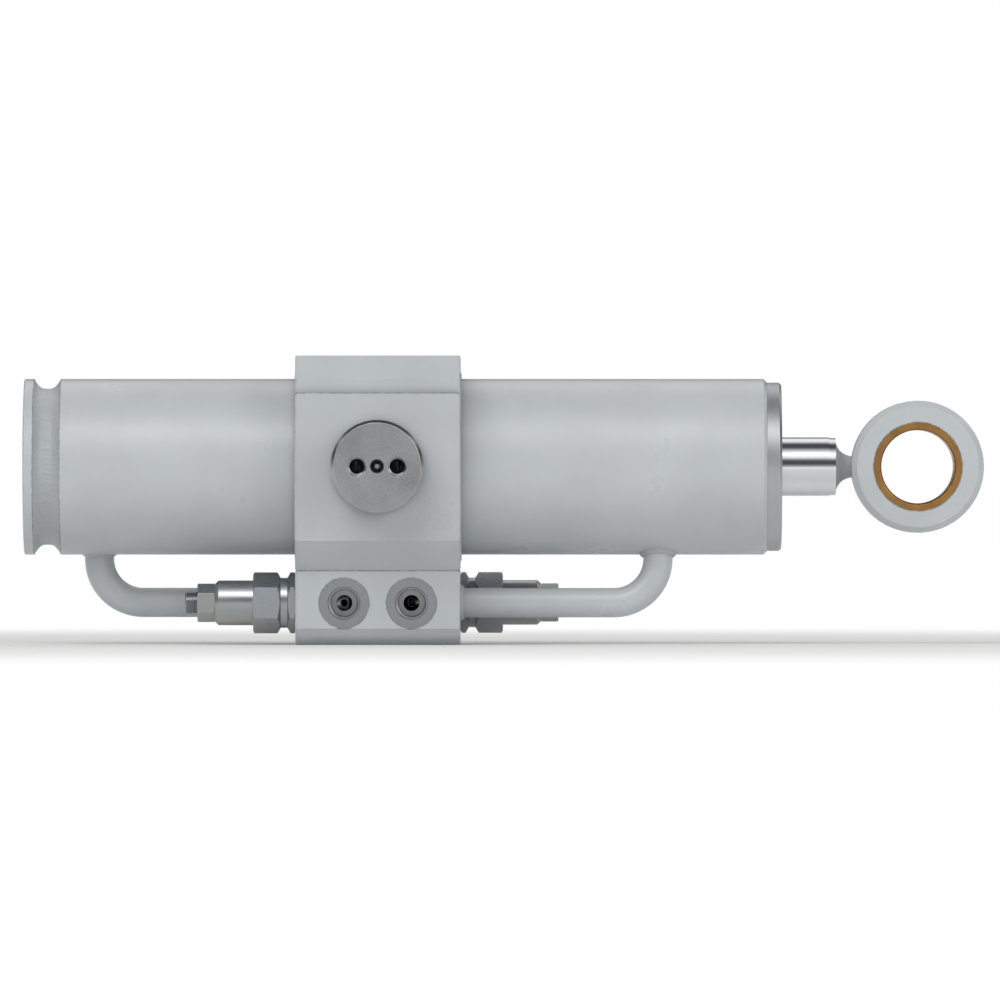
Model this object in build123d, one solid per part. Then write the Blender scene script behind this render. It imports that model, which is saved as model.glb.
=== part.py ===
from build123d import *
import math
import os

# Double-acting hydraulic cylinder on a mid-barrel trunnion block, with a manifold block, two counterbalance
# cartridges and a pipe to each end of the barrel. Millimetres.
# The origin is where the trunnion axis (Y) crosses the barrel axis (X). +X points to the rod eye, +Z is up,
# and the ports face -Y. The rod is shown fully retracted.

# Clearances
fit_clear = 0.05
seal_clear = 0.03
piston_clear = 0.25
end_gap = 0.5
side_gap = 0.2
edge_break = 0.8
cut_over = 1.0

# Barrel and base cap
stroke = 295.0
bore_d = 100.0
barrel_wall = 10.0
base_to_trunnion = 241.5
cap_length = 21.0
groove_from_base = 15.75
groove_width = 16.1
groove_depth = 7.3
weld_throat = 1.7
weld_edge = 0.9
mouth_chamfer = 2.0

# Mouth of the barrel, measured back from its end face
pilot_step = 2.0
pilot_back = 43.6
relief_step = 4.2
relief_back = 35.8
relief_width = 3.4
thread_step = 3.35
thread_clear = 0.05
mouth_seat_step = 6.2
mouth_seat_depth = 3.1

# Gland
gland_depth = 80.5
flange_length = 10.0
flange_inset = 2.5
nose_step = 6.9
nose_length = 8.7
nose_taper = 5.7
gland_ring_from_nose = 21.8
gland_ring_width = 9.4
gland_ring_depth = 4.35
gland_backup_width = 2.5
gland_ring_offset = 0.6
mouth_ring_section = 4.6
mouth_groove_width = 6.0
lock_plug_d = 10.0
lock_plug_depth = 10.8
lock_plug_back = 18.0
lock_plug_gap = 0.5
thread_lead_in = 1.0
rod_seal_from_nose = 36.9
rod_seal_width = 13.2
rod_seal_depth = 7.4
rod_seal_backup_width = 3.4
seal_lip_length = 4.0
seal_lip_gape = 1.5
seal_lip_relief = 0.5
guide_from_nose = 58.1
guide_width = 7.0
guide_depth = 3.2
wiper_from_nose = 66.1
wiper_width = 4.8
wiper_depth = 7.0
wiper_lip = 3.0
wiper_lip_edge = 0.8
wiper_notch = 1.5
mouth_ring_squeeze = 0.35
mouth_bore_d = 49.8
spanner_hole_d = 8.0
spanner_hole_depth = 8.0
spanner_from_rim = 14.5
spanner_holes = 4

# Rod and eye
rod_d = 40.0
rod_shank_d = 30.0
rod_thread_d = 28.8
rod_thread_run = 5.0
rod_tail_step = 0.6
rod_tail_d = 21.2
rod_tail_length = 15.0
rod_tail_taper = 11.4
rod_stickout = 37.2
rod_end_land = 4.4
rod_end_land_step = 0.5
shoulder_chamfer = 2.0
neck_length = 10.8
neck_fillet = 10.7
neck_d = 14.8
eye_spigot_d = 10.0
eye_spigot_depth = 4.0
eye_d = 90.0
eye_width = 50.0
eye_chamfer = 3.5
bush_wall = 5.0
bush_bore_d = 50.0
bush_chamfer = 1.0

# Piston
nut_length = 28.5
nut_flats = 46.0
nut_chamfer = 4.0
piston_length = 65.5
piston_chamfer = 1.5
shoulder_from_back = 41.0
band_from_back = 7.2
band_width = 21.0
band_depth = 4.5
band_split = 3.0
piston_seal_from_back = 37.5
piston_seal_width = 17.0
piston_seal_depth = 7.0
side_ring_width = 3.2
glide_ring_height = 3.4
static_from_back = 47.5
static_width = 6.0
static_depth = 3.0
static_backup_width = 2.2
static_ring_offset = 0.4
ring_side_gap = 0.1
energiser_taper = 1.0

# Trunnion block
block_length = 112.2
block_top_wall = 15.5
block_side_wall = 20.0
block_seat_wall = 10.5
pad_top_drop = 25.4
shoulder_drop = 16.7
ledge_width = 8.0
top_chamfer = 16.7
foot_chamfer = 19.9
ring_weld_leg = 5.0
ring_weld_sag = 0.8

# Trunnion pins
pin_d = 63.0
pin_length = 50.0
pin_chamfer = 2.0
pin_spigot_d = 40.0
pin_spigot_length = 16.0
pin_hole_d = 10.2
pin_hole_depth = 24.0
pin_hole_pitch = 27.3
centre_hole_d = 10.0
centre_hole_depth = 7.0
centre_hole_tip_r = 1.0

# Manifold block
manifold_height = 50.5
manifold_chamfer = 10.8
port_drop = 22.3
port_pitch = 45.8
port_thread_d = 19.8
port_thread_depth = 16.0
port_throat_d = 13.5
port_throat_depth = 4.0
port_drill_d = 11.0
spotface_d = 34.0
spotface_depth = 1.0
screw_d = 8.0
screw_head_d = 13.0
screw_head_length = 8.0
screw_head_recess = 1.5
screw_socket_flats = 6.0
screw_socket_depth = 4.0
screw_engagement = 14.0
screw_from_end = 8.6
screw_y = 41.0
screw_hole_gap = 0.2
screw_head_gap = 0.5
screw_hole_spare = 2.0

# Pipes
pipe_d = 20.0
pipe_wall = 2.5
pipe_bend = 30.0
pipe_seat_depth = 4.0
pipe_socket_depth = 10.0
pipe_bead = 2.5
base_port_x = -190.7
rod_port_x = 190.9
base_pipe_y = 23.0
rod_pipe_y = -10.0

# Counterbalance cartridges, measured outwards from the manifold's end face
valve_y = 23.0
hex_flats = 36.0
hex_length = 29.0
hex_groove_d = 34.0
hex_groove_start = 5.7
hex_groove_end = 10.2
hex_chamfer = 1.6
stem_d = 24.0
stem_length = 22.0
nose_valve_d = 19.0
nose_valve_length = 18.0
cavity_extra = 4.0
stem_chamfer = 1.0
stem_end_gap = 0.5
seat_d = 9.0
seat_from_tip = 20.0
guide_bore_d = 17.2
cross_hole_d = 5.0
cross_holes = 4
valve_ring_section = 2.4
valve_ring_from_tip = 2.6
sleeve_d = 30.5
sleeve_tip_d = 26.0
sleeve_length = 26.0
sleeve_taper = 2.5
sleeve_spigot_length = 14.0
sleeve_floor = 17.0
locknut_flats = 22.7
locknut_length = 12.0
locknut_chamfer = 1.0
adjuster_d = 15.2
adjuster_reach = 8.3
adjuster_socket_flats = 8.0
adjuster_socket_depth = 5.0
adjuster_setback = 1.0
plate_length = 3.0
plate_boss_d = 8.0
plate_boss_length = 5.0
plate_gap = 0.1
spring_wire = 2.4
spring_turns = 5
spring_boss_gap = 0.3
poppet_skirt = 12.0
poppet_gap = 0.3
poppet_wall = 1.5
poppet_pocket = 3.0

# Radii and places that follow from the sizes above
bore_r = bore_d / 2
barrel_r = bore_r + barrel_wall
rod_r = rod_d / 2
cap_face_x = -base_to_trunnion
cap_inner_x = cap_face_x + cap_length
groove_x = cap_face_x + groove_from_base
rod_tail_x = cap_inner_x + end_gap
nut_x = rod_tail_x + rod_tail_length
piston_x = nut_x + nut_length
piston_face_x = piston_x + piston_length
gland_x = piston_face_x + stroke + end_gap
mouth_x = gland_x + gland_depth
gland_face_x = mouth_x + flange_length
rod_end_x = gland_face_x + rod_stickout
eye_x = rod_end_x + neck_length + eye_d / 2
pilot_r = bore_r + pilot_step
relief_r = bore_r + relief_step
thread_r = bore_r + thread_step
mouth_seat_r = bore_r + mouth_seat_step
nose_r = bore_r - nose_step
flange_r = barrel_r - flange_inset

block_half = block_length / 2
pad_y = barrel_r + block_side_wall
block_top_z = barrel_r + block_top_wall
foot_z = -barrel_r - block_seat_wall
foot_y = pad_y - foot_chamfer
manifold_z = foot_z - manifold_height
port_z = foot_z - port_drop
pin_end_y = pad_y + pin_length

valve_tip = stem_length + nose_valve_length
spring_floor = valve_tip - seat_from_tip - poppet_skirt
sleeve_end = hex_length + sleeve_length
locknut_end = sleeve_end + locknut_length
screw_inner = hex_length + adjuster_setback
plate_start = screw_inner - plate_length - plate_gap

parts = {}


def outline(points):
    """A closed flat face in the XZ plane, from (x, r) points."""
    return Plane.XZ * make_face(Polyline(*points, close=True))


def turned(points):
    """The solid that an (x, r) outline makes when it turns about the X axis."""
    return revolve(outline(points), Axis.X)


def bar(x0, x1, r, y=0.0, z=0.0):
    """A round bar along X."""
    return Pos((x0 + x1) / 2, y, z) * Rot(0, 90, 0) * Cylinder(r, x1 - x0)


def ring(x0, x1, r_in, r_out):
    """A plain ring about the X axis."""
    return turned([(x0, r_in), (x1, r_in), (x1, r_out), (x0, r_out)])


def o_ring(x, r_in, section):
    """A round-section ring about the X axis that sits on the radius r_in."""
    return Pos(x, 0, 0) * Rot(0, 90, 0) * Torus(r_in + section / 2, section / 2)


def hex_prism(x0, x1, flats):
    """A plain hexagon bar along X with a corner up, also the cutter for a hexagon socket."""
    hexagon = RegularPolygon(flats / 2, 6, major_radius=False, rotation=30)
    return extrude(Plane.YZ.offset(x0) * hexagon, x1 - x0)


def hex_bar(x0, x1, flats, chamfer):
    """A hexagon bar along X with a corner up and both ends chamfered."""
    corner = flats / math.sqrt(3)
    prism = hex_prism(x0, x1, flats)
    rise = chamfer * math.tan(math.radians(30))
    envelope = turned([
        (x0, 0), (x0, corner - chamfer), (x0 + rise, corner + fit_clear),
        (x1 - rise, corner + fit_clear), (x1, corner - chamfer), (x1, 0),
    ])
    return prism & envelope


def groove_arc(side, half_width, depth):
    """Half of a round-bottomed groove in the barrel's surface, from its edge on one side to its bottom."""
    radius = (half_width ** 2 + depth ** 2) / (2 * depth)
    centre_r = barrel_r - depth + radius
    half_angle = math.atan2(half_width, centre_r - barrel_r) / 2
    middle = (groove_x + side * radius * math.sin(half_angle), centre_r - radius * math.cos(half_angle))
    return ThreePointArc((groove_x + side * half_width, barrel_r), middle, (groove_x, barrel_r - depth))


# Base joint: a round-bottomed groove between the cap and the tube, with a concave weld laid in it.
joint_half = groove_width / 2 + weld_edge
joint_depth = groove_depth + weld_throat
joint_r = barrel_r - joint_depth


def make_base_cap():
    """The closed end: a thick disc with a spigot inside the tube and half of the joint's groove."""
    spigot_r = bore_r - fit_clear
    rest = Polyline(
        (groove_x, joint_r), (groove_x, spigot_r), (cap_inner_x - edge_break, spigot_r),
        (cap_inner_x, spigot_r - edge_break), (cap_inner_x, 0), (cap_face_x, 0),
        (cap_face_x, barrel_r - edge_break), (cap_face_x + edge_break, barrel_r),
        (groove_x - joint_half, barrel_r),
    )
    return revolve(Plane.XZ * make_face(groove_arc(-1, joint_half, joint_depth) + rest), Axis.X)


def make_base_weld():
    """The ring weld that joins the cap to the tube, with a concave face below the barrel's surface."""
    half = groove_width / 2
    section = make_face([
        groove_arc(-1, joint_half, joint_depth), groove_arc(1, joint_half, joint_depth),
        Line((groove_x + joint_half, barrel_r), (groove_x + half, barrel_r)),
        groove_arc(1, half, groove_depth), groove_arc(-1, half, groove_depth),
        Line((groove_x - half, barrel_r), (groove_x - joint_half, barrel_r)),
    ])
    return revolve(Plane.XZ * section, Axis.X)


def leg_cutter(radius, v0, v1, port_x):
    """A round cutter straight down from the barrel axis, at a port."""
    return Pos(port_x, 0, -(v0 + v1) / 2) * Cylinder(radius, v1 - v0)


def swing_to_base_pipe(shape):
    """Turn a shape made straight below the barrel axis to the radial line of the base-side pipe."""
    return Rot(math.degrees(math.atan2(base_pipe_y, -port_z)), 0, 0) * shape


def shift_to_rod_pipe(shape):
    """Move a shape made straight below the barrel axis to the plane of the rod-side pipe."""
    return Pos(0, rod_pipe_y, 0) * shape


def make_barrel_tube():
    """The honed tube with the gland's bore steps, relief and mouth, and the two pipe ports."""
    pilot_x = mouth_x - pilot_back
    relief_x = mouth_x - relief_back
    relief_end_x = relief_x + relief_width
    seat_rise = mouth_seat_r - thread_r
    seat_x = mouth_x - mouth_seat_depth
    rest = Polyline(
        (groove_x, joint_r), (groove_x, bore_r), (pilot_x - pilot_step, bore_r), (pilot_x, pilot_r),
        (relief_x, pilot_r), (relief_x, relief_r), (relief_end_x, relief_r), (relief_end_x, thread_r),
        (seat_x - seat_rise, thread_r), (seat_x, mouth_seat_r), (mouth_x, mouth_seat_r),
        (mouth_x, barrel_r - mouth_chamfer), (mouth_x - mouth_chamfer, barrel_r),
        (groove_x + joint_half, barrel_r),
    )
    tube = revolve(Plane.XZ * make_face(groove_arc(1, joint_half, joint_depth) + rest), Axis.X)
    port_r = pipe_d / 2 - pipe_wall
    seat_r = pipe_d / 2 + fit_clear
    far = barrel_r + barrel_wall
    for port_x, place in ((base_port_x, swing_to_base_pipe), (rod_port_x, shift_to_rod_pipe)):
        tube -= place(leg_cutter(port_r, bore_r / 2, far, port_x))
        tube -= place(leg_cutter(seat_r, barrel_r - pipe_seat_depth, far, port_x))
    return tube


def pipe_along(x_leg, v_run, x_end):
    """A bent pipe straight below the barrel axis: a short leg, one bend and a run to the manifold."""
    path = FilletPolyline(
        (x_leg, 0, -(barrel_r - pipe_seat_depth)), (x_leg, 0, -v_run), (x_end, 0, -v_run), radius=pipe_bend
    )
    start = Plane(origin=path @ 0, z_dir=path % 0)
    outside = sweep(start * Circle(pipe_d / 2), path)
    inside = sweep(start * Circle(pipe_d / 2 - pipe_wall), path)
    return outside - inside


def port_bead(port_x):
    """A fillet bead round a pipe's leg that follows the barrel's surface."""
    low = barrel_r - pipe_bead
    high = barrel_r + pipe_bead
    foot = Pos(port_x, 0, -(low + high) / 2) * Cone(pipe_d / 2, pipe_d / 2 + 2 * pipe_bead, high - low)
    around_pipe = leg_cutter(pipe_d / 2 + fit_clear, low - cut_over, high + cut_over, port_x)
    return foot - around_pipe


def face_bead(side, y):
    """A fillet bead round a pipe where it enters the manifold's end face."""
    inner = pipe_d / 2 + fit_clear
    bead = turned([(0, inner), (0, inner + pipe_bead), (pipe_bead, inner)])
    turn = Rot(0, 0, 0) if side > 0 else Rot(0, 0, 180)
    return Pos(side * block_half, y, port_z) * turn * bead


def make_pipes():
    """Both pipes and the beads at their ends."""
    socket_x = block_half - pipe_socket_depth
    base_run = math.hypot(base_pipe_y, port_z)
    parts["pipe_base_side"] = swing_to_base_pipe(pipe_along(base_port_x, base_run, -socket_x))
    parts["pipe_rod_side"] = shift_to_rod_pipe(pipe_along(rod_port_x, -port_z, socket_x))
    around_barrel = bar(cap_face_x, mouth_x, barrel_r)
    beads = [
        swing_to_base_pipe(port_bead(base_port_x)) - around_barrel,
        shift_to_rod_pipe(port_bead(rod_port_x)) - around_barrel,
        face_bead(-1, base_pipe_y),
        face_bead(1, rod_pipe_y),
    ]
    parts["pipe_welds"] = Compound(children=[bead.solid() for bead in beads])


def make_trunnion_block():
    """The block round the barrel, with a pad and a pocket for each trunnion pin."""
    pad_top_z = block_top_z - pad_top_drop
    shoulder_z = block_top_z - shoulder_drop
    shoulder_y = pad_y - ledge_width
    half = [
        (shoulder_y - top_chamfer, block_top_z), (shoulder_y, shoulder_z), (shoulder_y, pad_top_z),
        (pad_y, pad_top_z), (pad_y, foot_z + foot_chamfer), (foot_y, foot_z),
    ]
    mirrored = [(-y, z) for y, z in reversed(half)]
    face = Plane.YZ.offset(-block_half) * make_face(Polyline(*half, *mirrored, close=True))
    block = extrude(face, block_length)
    block = chamfer(block.faces().sort_by(Axis.X)[0].edges(), edge_break)
    block = chamfer(block.faces().sort_by(Axis.X)[-1].edges(), edge_break)
    block -= bar(-block_half, block_half, barrel_r + fit_clear)
    for side in (-1, 1):
        block -= Pos(side * (block_half - ring_weld_leg / 2), 0, 0) * Rot(0, side * 90, 0) * Cone(
            barrel_r, barrel_r + ring_weld_leg, ring_weld_leg
        )
    pocket_y = pad_y - pin_spigot_length
    for side in (-1, 1):
        block -= Pos(0, side * (pocket_y + pad_y) / 2, 0) * Rot(90, 0, 0) * Cylinder(
            pin_spigot_d / 2 + fit_clear, pin_spigot_length
        )
    hole_depth = screw_engagement + screw_hole_spare
    for x, y in screw_places():
        block -= Pos(x, y, foot_z + hole_depth / 2) * Cylinder(screw_d / 2 + fit_clear, hole_depth)
    return block


def make_block_welds():
    """Ring welds that fill the chamfers between the block's ends and the barrel."""
    inner = barrel_r + fit_clear
    leg = ring_weld_leg - fit_clear
    welds = []
    for side in (-1, 1):
        root_x = side * (block_half - leg)
        face_x = side * block_half
        edge = make_face(
            Polyline((face_x, inner + leg), (root_x, inner), (face_x, inner))
            + ThreePointArc(
                (face_x, inner), (face_x - side * ring_weld_sag, inner + leg / 2), (face_x, inner + leg)
            )
        )
        welds.append(revolve(Plane.XZ * edge, Axis.X).solid())
    return Compound(children=welds)


def screw_places():
    """The four manifold screws' X and Y places."""
    x = block_half - screw_from_end
    return [(sx * x, sy * screw_y) for sx in (-1, 1) for sy in (-1, 1)]


def make_manifold_screws():
    """Four socket cap screws, heads down, that hold the manifold to the block."""
    head_z = manifold_z + screw_head_recess
    seat_z = head_z + screw_head_length
    tip_z = foot_z + screw_engagement
    head = Pos(0, 0, (head_z + seat_z) / 2) * Cylinder(screw_head_d / 2, screw_head_length)
    head = chamfer(head.edges().group_by(Axis.Z)[0], edge_break)
    shank = Pos(0, 0, (seat_z + tip_z) / 2) * Cylinder(screw_d / 2, tip_z - seat_z)
    shank = chamfer(shank.edges().group_by(Axis.Z)[-1], edge_break)
    socket = extrude(Plane.XY.offset(head_z) * RegularPolygon(screw_socket_flats / 2, 6, major_radius=False),
                     screw_socket_depth)
    screw = head + shank - socket
    return Compound(children=[(Pos(x, y, 0) * screw).solid() for x, y in screw_places()])


def make_manifold():
    """The ported block: two threaded ports, two cartridge cavities and the pipe sockets."""
    low_y = foot_y - manifold_chamfer
    low_z = manifold_z + manifold_chamfer
    profile = [(foot_y, foot_z), (foot_y, low_z), (low_y, manifold_z), (-low_y, manifold_z), (-foot_y, low_z),
               (-foot_y, foot_z)]
    face = Plane.YZ.offset(-block_half) * make_face(Polyline(*profile, close=True))
    block = extrude(face, block_length)
    block = chamfer(block.faces().sort_by(Axis.X)[0].edges(), edge_break)
    block = chamfer(block.faces().sort_by(Axis.X)[-1].edges(), edge_break)
    for side in (-1, 1):
        port_x = side * port_pitch / 2
        block -= port_cutter(port_x)
        block -= cavity_cutter(side)
    for side, y in ((-1, base_pipe_y), (1, rod_pipe_y)):
        mouth = side * block_half
        socket = mouth - side * pipe_socket_depth
        end = side * port_pitch / 2
        block -= bar(min(mouth, socket), max(mouth, socket), pipe_d / 2 + fit_clear, y, port_z)
        block -= bar(min(mouth, end), max(mouth, end), pipe_d / 2 - pipe_wall, y, port_z)
    seat_z = manifold_z + screw_head_recess + screw_head_length
    for x, y in screw_places():
        block -= Pos(x, y, (foot_z + manifold_z) / 2) * Cylinder(screw_d / 2 + screw_hole_gap, manifold_height)
        block -= Pos(x, y, (seat_z + manifold_z) / 2) * Cylinder(
            screw_head_d / 2 + screw_head_gap, seat_z - manifold_z
        )
    return block


def port_cutter(port_x):
    """Spotface, thread, throat and cross drilling of one port, from the front face."""
    front = -foot_y
    thread_end = front + port_thread_depth
    throat_end = thread_end + port_throat_depth
    steps = [
        (front - cut_over, front + spotface_depth, spotface_d / 2),
        (front - cut_over, thread_end, port_thread_d / 2),
        (thread_end, throat_end, port_throat_d / 2), (throat_end, valve_y, port_drill_d / 2),
    ]
    cutter = None
    for y0, y1, r in steps:
        step = Pos(port_x, (y0 + y1) / 2, port_z) * Rot(90, 0, 0) * Cylinder(r, y1 - y0)
        cutter = step if cutter is None else cutter + step
    return cutter


def seat_valve(side, shape):
    """Place a cartridge piece, made along +X from the origin, in the left (-1) or right (1) cavity."""
    turn = Rot(0, 0, 0) if side > 0 else Rot(0, 0, 180)
    return Pos(side * block_half, side * valve_y, port_z) * turn * shape


def cavity_cutter(side):
    """The stepped hole that a cartridge screws into."""
    stem_end = -stem_length - stem_end_gap
    cutter = bar(stem_end, cut_over, stem_d / 2 + fit_clear)
    cutter += bar(-valve_tip - cavity_extra, stem_end, nose_valve_d / 2 + fit_clear)
    return seat_valve(side, cutter)


def make_valve_body():
    """Hexagon, threaded stem and nose of a cartridge, bored for the poppet and the spring."""
    corner = hex_flats / math.sqrt(3) + cut_over
    body = hex_bar(0, hex_length, hex_flats, hex_chamfer)
    run = corner - hex_groove_d / 2
    slope = run * math.tan(math.radians(30))
    body -= turned([
        (hex_groove_start, hex_groove_d / 2), (hex_groove_end, hex_groove_d / 2),
        (hex_groove_end + slope, corner), (hex_groove_start - slope, corner),
    ])
    stem_r = stem_d / 2
    nose_r_valve = nose_valve_d / 2
    body += turned([
        (0, 0), (0, stem_r), (stem_chamfer - stem_length, stem_r), (-stem_length, stem_r - stem_chamfer),
        (-stem_length, nose_r_valve), (stem_chamfer - valve_tip, nose_r_valve),
        (-valve_tip, nose_r_valve - stem_chamfer), (-valve_tip, 0),
    ])
    bore_end = -valve_tip + seat_from_tip
    body -= bar(bore_end, hex_length, guide_bore_d / 2)
    body -= bar(-valve_tip, bore_end, seat_d / 2)
    body -= bar(hex_length - sleeve_spigot_length, hex_length, stem_d / 2 + fit_clear)
    for x in valve_ring_places():
        half = valve_ring_section / 2 + side_gap
        body -= ring(x - half, x + half, nose_r_valve - valve_ring_section, nose_r_valve + cut_over)
    hole_x = port_pitch / 2 - block_half
    reach = nose_r_valve + cut_over
    for i in range(cross_holes):
        angle = 360 / cross_holes * i
        hole = Pos(hole_x, 0, reach / 2) * Cylinder(cross_hole_d / 2, reach)
        body -= Rot(angle, 0, 0) * hole
    return body


def valve_ring_places():
    """Where the two nose rings sit, one each side of the cross holes."""
    return [-valve_tip + valve_ring_from_tip, -stem_length - valve_ring_from_tip]


def make_valve_seals():
    """The nose rings of one cartridge."""
    r_in = nose_valve_d / 2 - valve_ring_section + seal_clear
    r_out = nose_valve_d / 2
    half = valve_ring_section / 2
    corner = valve_ring_section / 4
    return [turned([
        (x - half, r_in), (x + half, r_in), (x + half, r_out - corner), (x + half - corner, r_out),
        (x - half + corner, r_out), (x - half, r_out - corner),
    ]) for x in valve_ring_places()]


def make_valve_sleeve():
    """The adjuster sleeve: a cap that screws into the body and carries the adjusting screw."""
    sleeve_r = sleeve_d / 2
    spigot_x = hex_length - sleeve_spigot_length
    sleeve = turned([
        (spigot_x, 0), (spigot_x, stem_d / 2), (hex_length, stem_d / 2), (hex_length, sleeve_r),
        (sleeve_end - sleeve_taper, sleeve_r), (sleeve_end, sleeve_tip_d / 2), (sleeve_end, 0),
    ])
    sleeve -= bar(spigot_x, sleeve_end - sleeve_floor, guide_bore_d / 2)
    sleeve -= bar(sleeve_end - sleeve_floor, sleeve_end, adjuster_d / 2 + fit_clear)
    return sleeve


def make_locknut():
    """The hexagon locknut on the adjusting screw."""
    nut = hex_bar(sleeve_end, locknut_end, locknut_flats, locknut_chamfer)
    return nut - bar(sleeve_end, locknut_end, adjuster_d / 2 + fit_clear)


def make_adjusting_screw():
    """The adjusting screw, with a rounded outer end and a hexagon socket."""
    tip = locknut_end + adjuster_reach
    screw = bar(screw_inner, tip, adjuster_d / 2)
    screw = fillet(screw.edges().group_by(Axis.X)[-1], 2 * edge_break)
    screw = chamfer(screw.edges().group_by(Axis.X)[0], edge_break)
    return screw - hex_prism(tip - adjuster_socket_depth, tip, adjuster_socket_flats)


def make_spring_plate():
    """The plate between the adjusting screw and the spring, with a boss inside the coil."""
    plate_r = guide_bore_d / 2 - fit_clear
    plate_end = plate_start + plate_length
    boss_x = plate_start - plate_boss_length
    return turned([
        (boss_x, 0), (boss_x, plate_boss_d / 2 - edge_break), (boss_x + edge_break, plate_boss_d / 2),
        (plate_start, plate_boss_d / 2), (plate_start, plate_r), (plate_end, plate_r), (plate_end, 0),
    ])


def make_poppet():
    """The poppet: a cone on the seat, a guided skirt and a pocket for the spring."""
    seat_x = -valve_tip + seat_from_tip
    skirt_r = guide_bore_d / 2 - fit_clear
    tip_r = seat_d / 4
    back_x = -spring_floor
    pocket_r = skirt_r - poppet_wall
    pocket_x = back_x + poppet_pocket
    return turned([
        (seat_x, 0), (seat_x, tip_r), (seat_x + skirt_r - tip_r, skirt_r),
        (pocket_x, skirt_r), (pocket_x, pocket_r), (back_x, pocket_r), (back_x, 0),
    ])


def make_spring():
    """The cartridge's coil spring, of flat wire."""
    start = -spring_floor + poppet_gap
    length = plate_start - poppet_gap - start
    mean_r = plate_boss_d / 2 + spring_wire / 2 + spring_boss_gap
    pitch = (length - spring_wire) / spring_turns
    path = Helix(pitch, length - spring_wire, mean_r)
    coil = sweep(Plane(origin=path @ 0, z_dir=path % 0, x_dir=(1, 0, 0)) * Rectangle(spring_wire, spring_wire),
                 path, is_frenet=True)
    return Pos(start + spring_wire / 2, 0, 0) * Rot(0, 90, 0) * coil


def make_cartridges():
    """Both counterbalance cartridges, piece by piece."""
    pieces = {
        "cartridge_body": make_valve_body(), "adjuster_sleeve": make_valve_sleeve(), "locknut": make_locknut(),
        "adjusting_screw": make_adjusting_screw(), "spring_plate": make_spring_plate(),
        "valve_spring": make_spring(), "valve_poppet": make_poppet(),
    }
    for side, word in ((-1, "left"), (1, "right")):
        for name, shape in pieces.items():
            parts[f"{name}_{word}"] = seat_valve(side, shape)
        rings = [seat_valve(side, r).solid() for r in make_valve_seals()]
        parts[f"cartridge_seals_{word}"] = Compound(children=rings)


def make_trunnion_pin(side):
    """A trunnion pin with its spigot in the block, two tapped holes and a centre hole in its end."""
    spigot_y = pad_y - pin_spigot_length
    pin_r = pin_d / 2
    spigot_r = pin_spigot_d / 2
    face = Plane.XY * make_face(Polyline(
        (0, spigot_y), (spigot_r - edge_break, spigot_y), (spigot_r, spigot_y + edge_break), (spigot_r, pad_y),
        (pin_r, pad_y), (pin_r, pin_end_y - pin_chamfer), (pin_r - pin_chamfer, pin_end_y), (0, pin_end_y),
        close=True,
    ))
    pin = revolve(face, Axis.Y)
    for x in (-pin_hole_pitch / 2, pin_hole_pitch / 2):
        pin -= Pos(x, pin_end_y - pin_hole_depth / 2, 0) * Rot(90, 0, 0) * Cylinder(pin_hole_d / 2, pin_hole_depth)
    cone_y = pin_end_y - centre_hole_depth / 2
    pin -= Pos(0, cone_y, 0) * Rot(-90, 0, 0) * Cone(centre_hole_tip_r, centre_hole_d / 2, centre_hole_depth)
    return pin if side > 0 else Rot(0, 0, 180) * pin


def make_gland():
    """The screwed gland: nose, static groove, thread, mouth groove, flange, and the rod's grooves inside."""
    bore = rod_r + 2 * fit_clear
    static_r = bore_r - 2 * fit_clear
    nose_end = gland_x + nose_length
    pilot_x = mouth_x - pilot_back
    thread_start = mouth_x - relief_back + relief_width
    groove_start = mouth_x - mouth_groove_width
    groove_r = mouth_seat_r - mouth_ring_section - mouth_ring_squeeze - fit_clear
    gland = turned([
        (gland_x, bore), (gland_x, nose_r - edge_break), (gland_x + edge_break, nose_r), (nose_end, nose_r),
        (nose_end + nose_taper, static_r), (pilot_x - pilot_step, static_r),
        (pilot_x + fit_clear, pilot_r - fit_clear), (thread_start, pilot_r - fit_clear),
        (thread_start + thread_lead_in, thread_r - thread_clear), (groove_start, thread_r - thread_clear),
        (groove_start, groove_r), (mouth_x, groove_r), (mouth_x, flange_r),
        (gland_face_x - 2 * edge_break, flange_r), (gland_face_x, flange_r - 2 * edge_break),
        (gland_face_x, bore),
    ])
    static_x = gland_x + gland_ring_from_nose
    gland -= ring(static_x, static_x + gland_ring_width, bore_r - gland_ring_depth, bore_r + cut_over)
    grooves = ((rod_seal_from_nose, rod_seal_width, rod_seal_depth), (guide_from_nose, guide_width, guide_depth),
               (wiper_from_nose, wiper_width, wiper_depth))
    for start, width, depth in grooves:
        gland -= ring(gland_x + start, gland_x + start + width, rod_r - cut_over, rod_r + depth)
    counterbore_x = gland_x + wiper_from_nose + wiper_width
    gland -= bar(counterbore_x, gland_face_x, mouth_bore_d / 2)
    gland -= Pos(mouth_x - lock_plug_back, 0, thread_r - lock_plug_depth / 2) * Cylinder(
        lock_plug_d / 2 + fit_clear, lock_plug_depth + 2 * fit_clear
    )
    for i in range(spanner_holes):
        angle = 360 / spanner_holes * (i + 0.5)
        hole_r = flange_r - spanner_from_rim
        hole = bar(gland_face_x - spanner_hole_depth, gland_face_x, spanner_hole_d / 2, 0, hole_r)
        gland -= Rot(angle, 0, 0) * hole
    return gland


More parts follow.
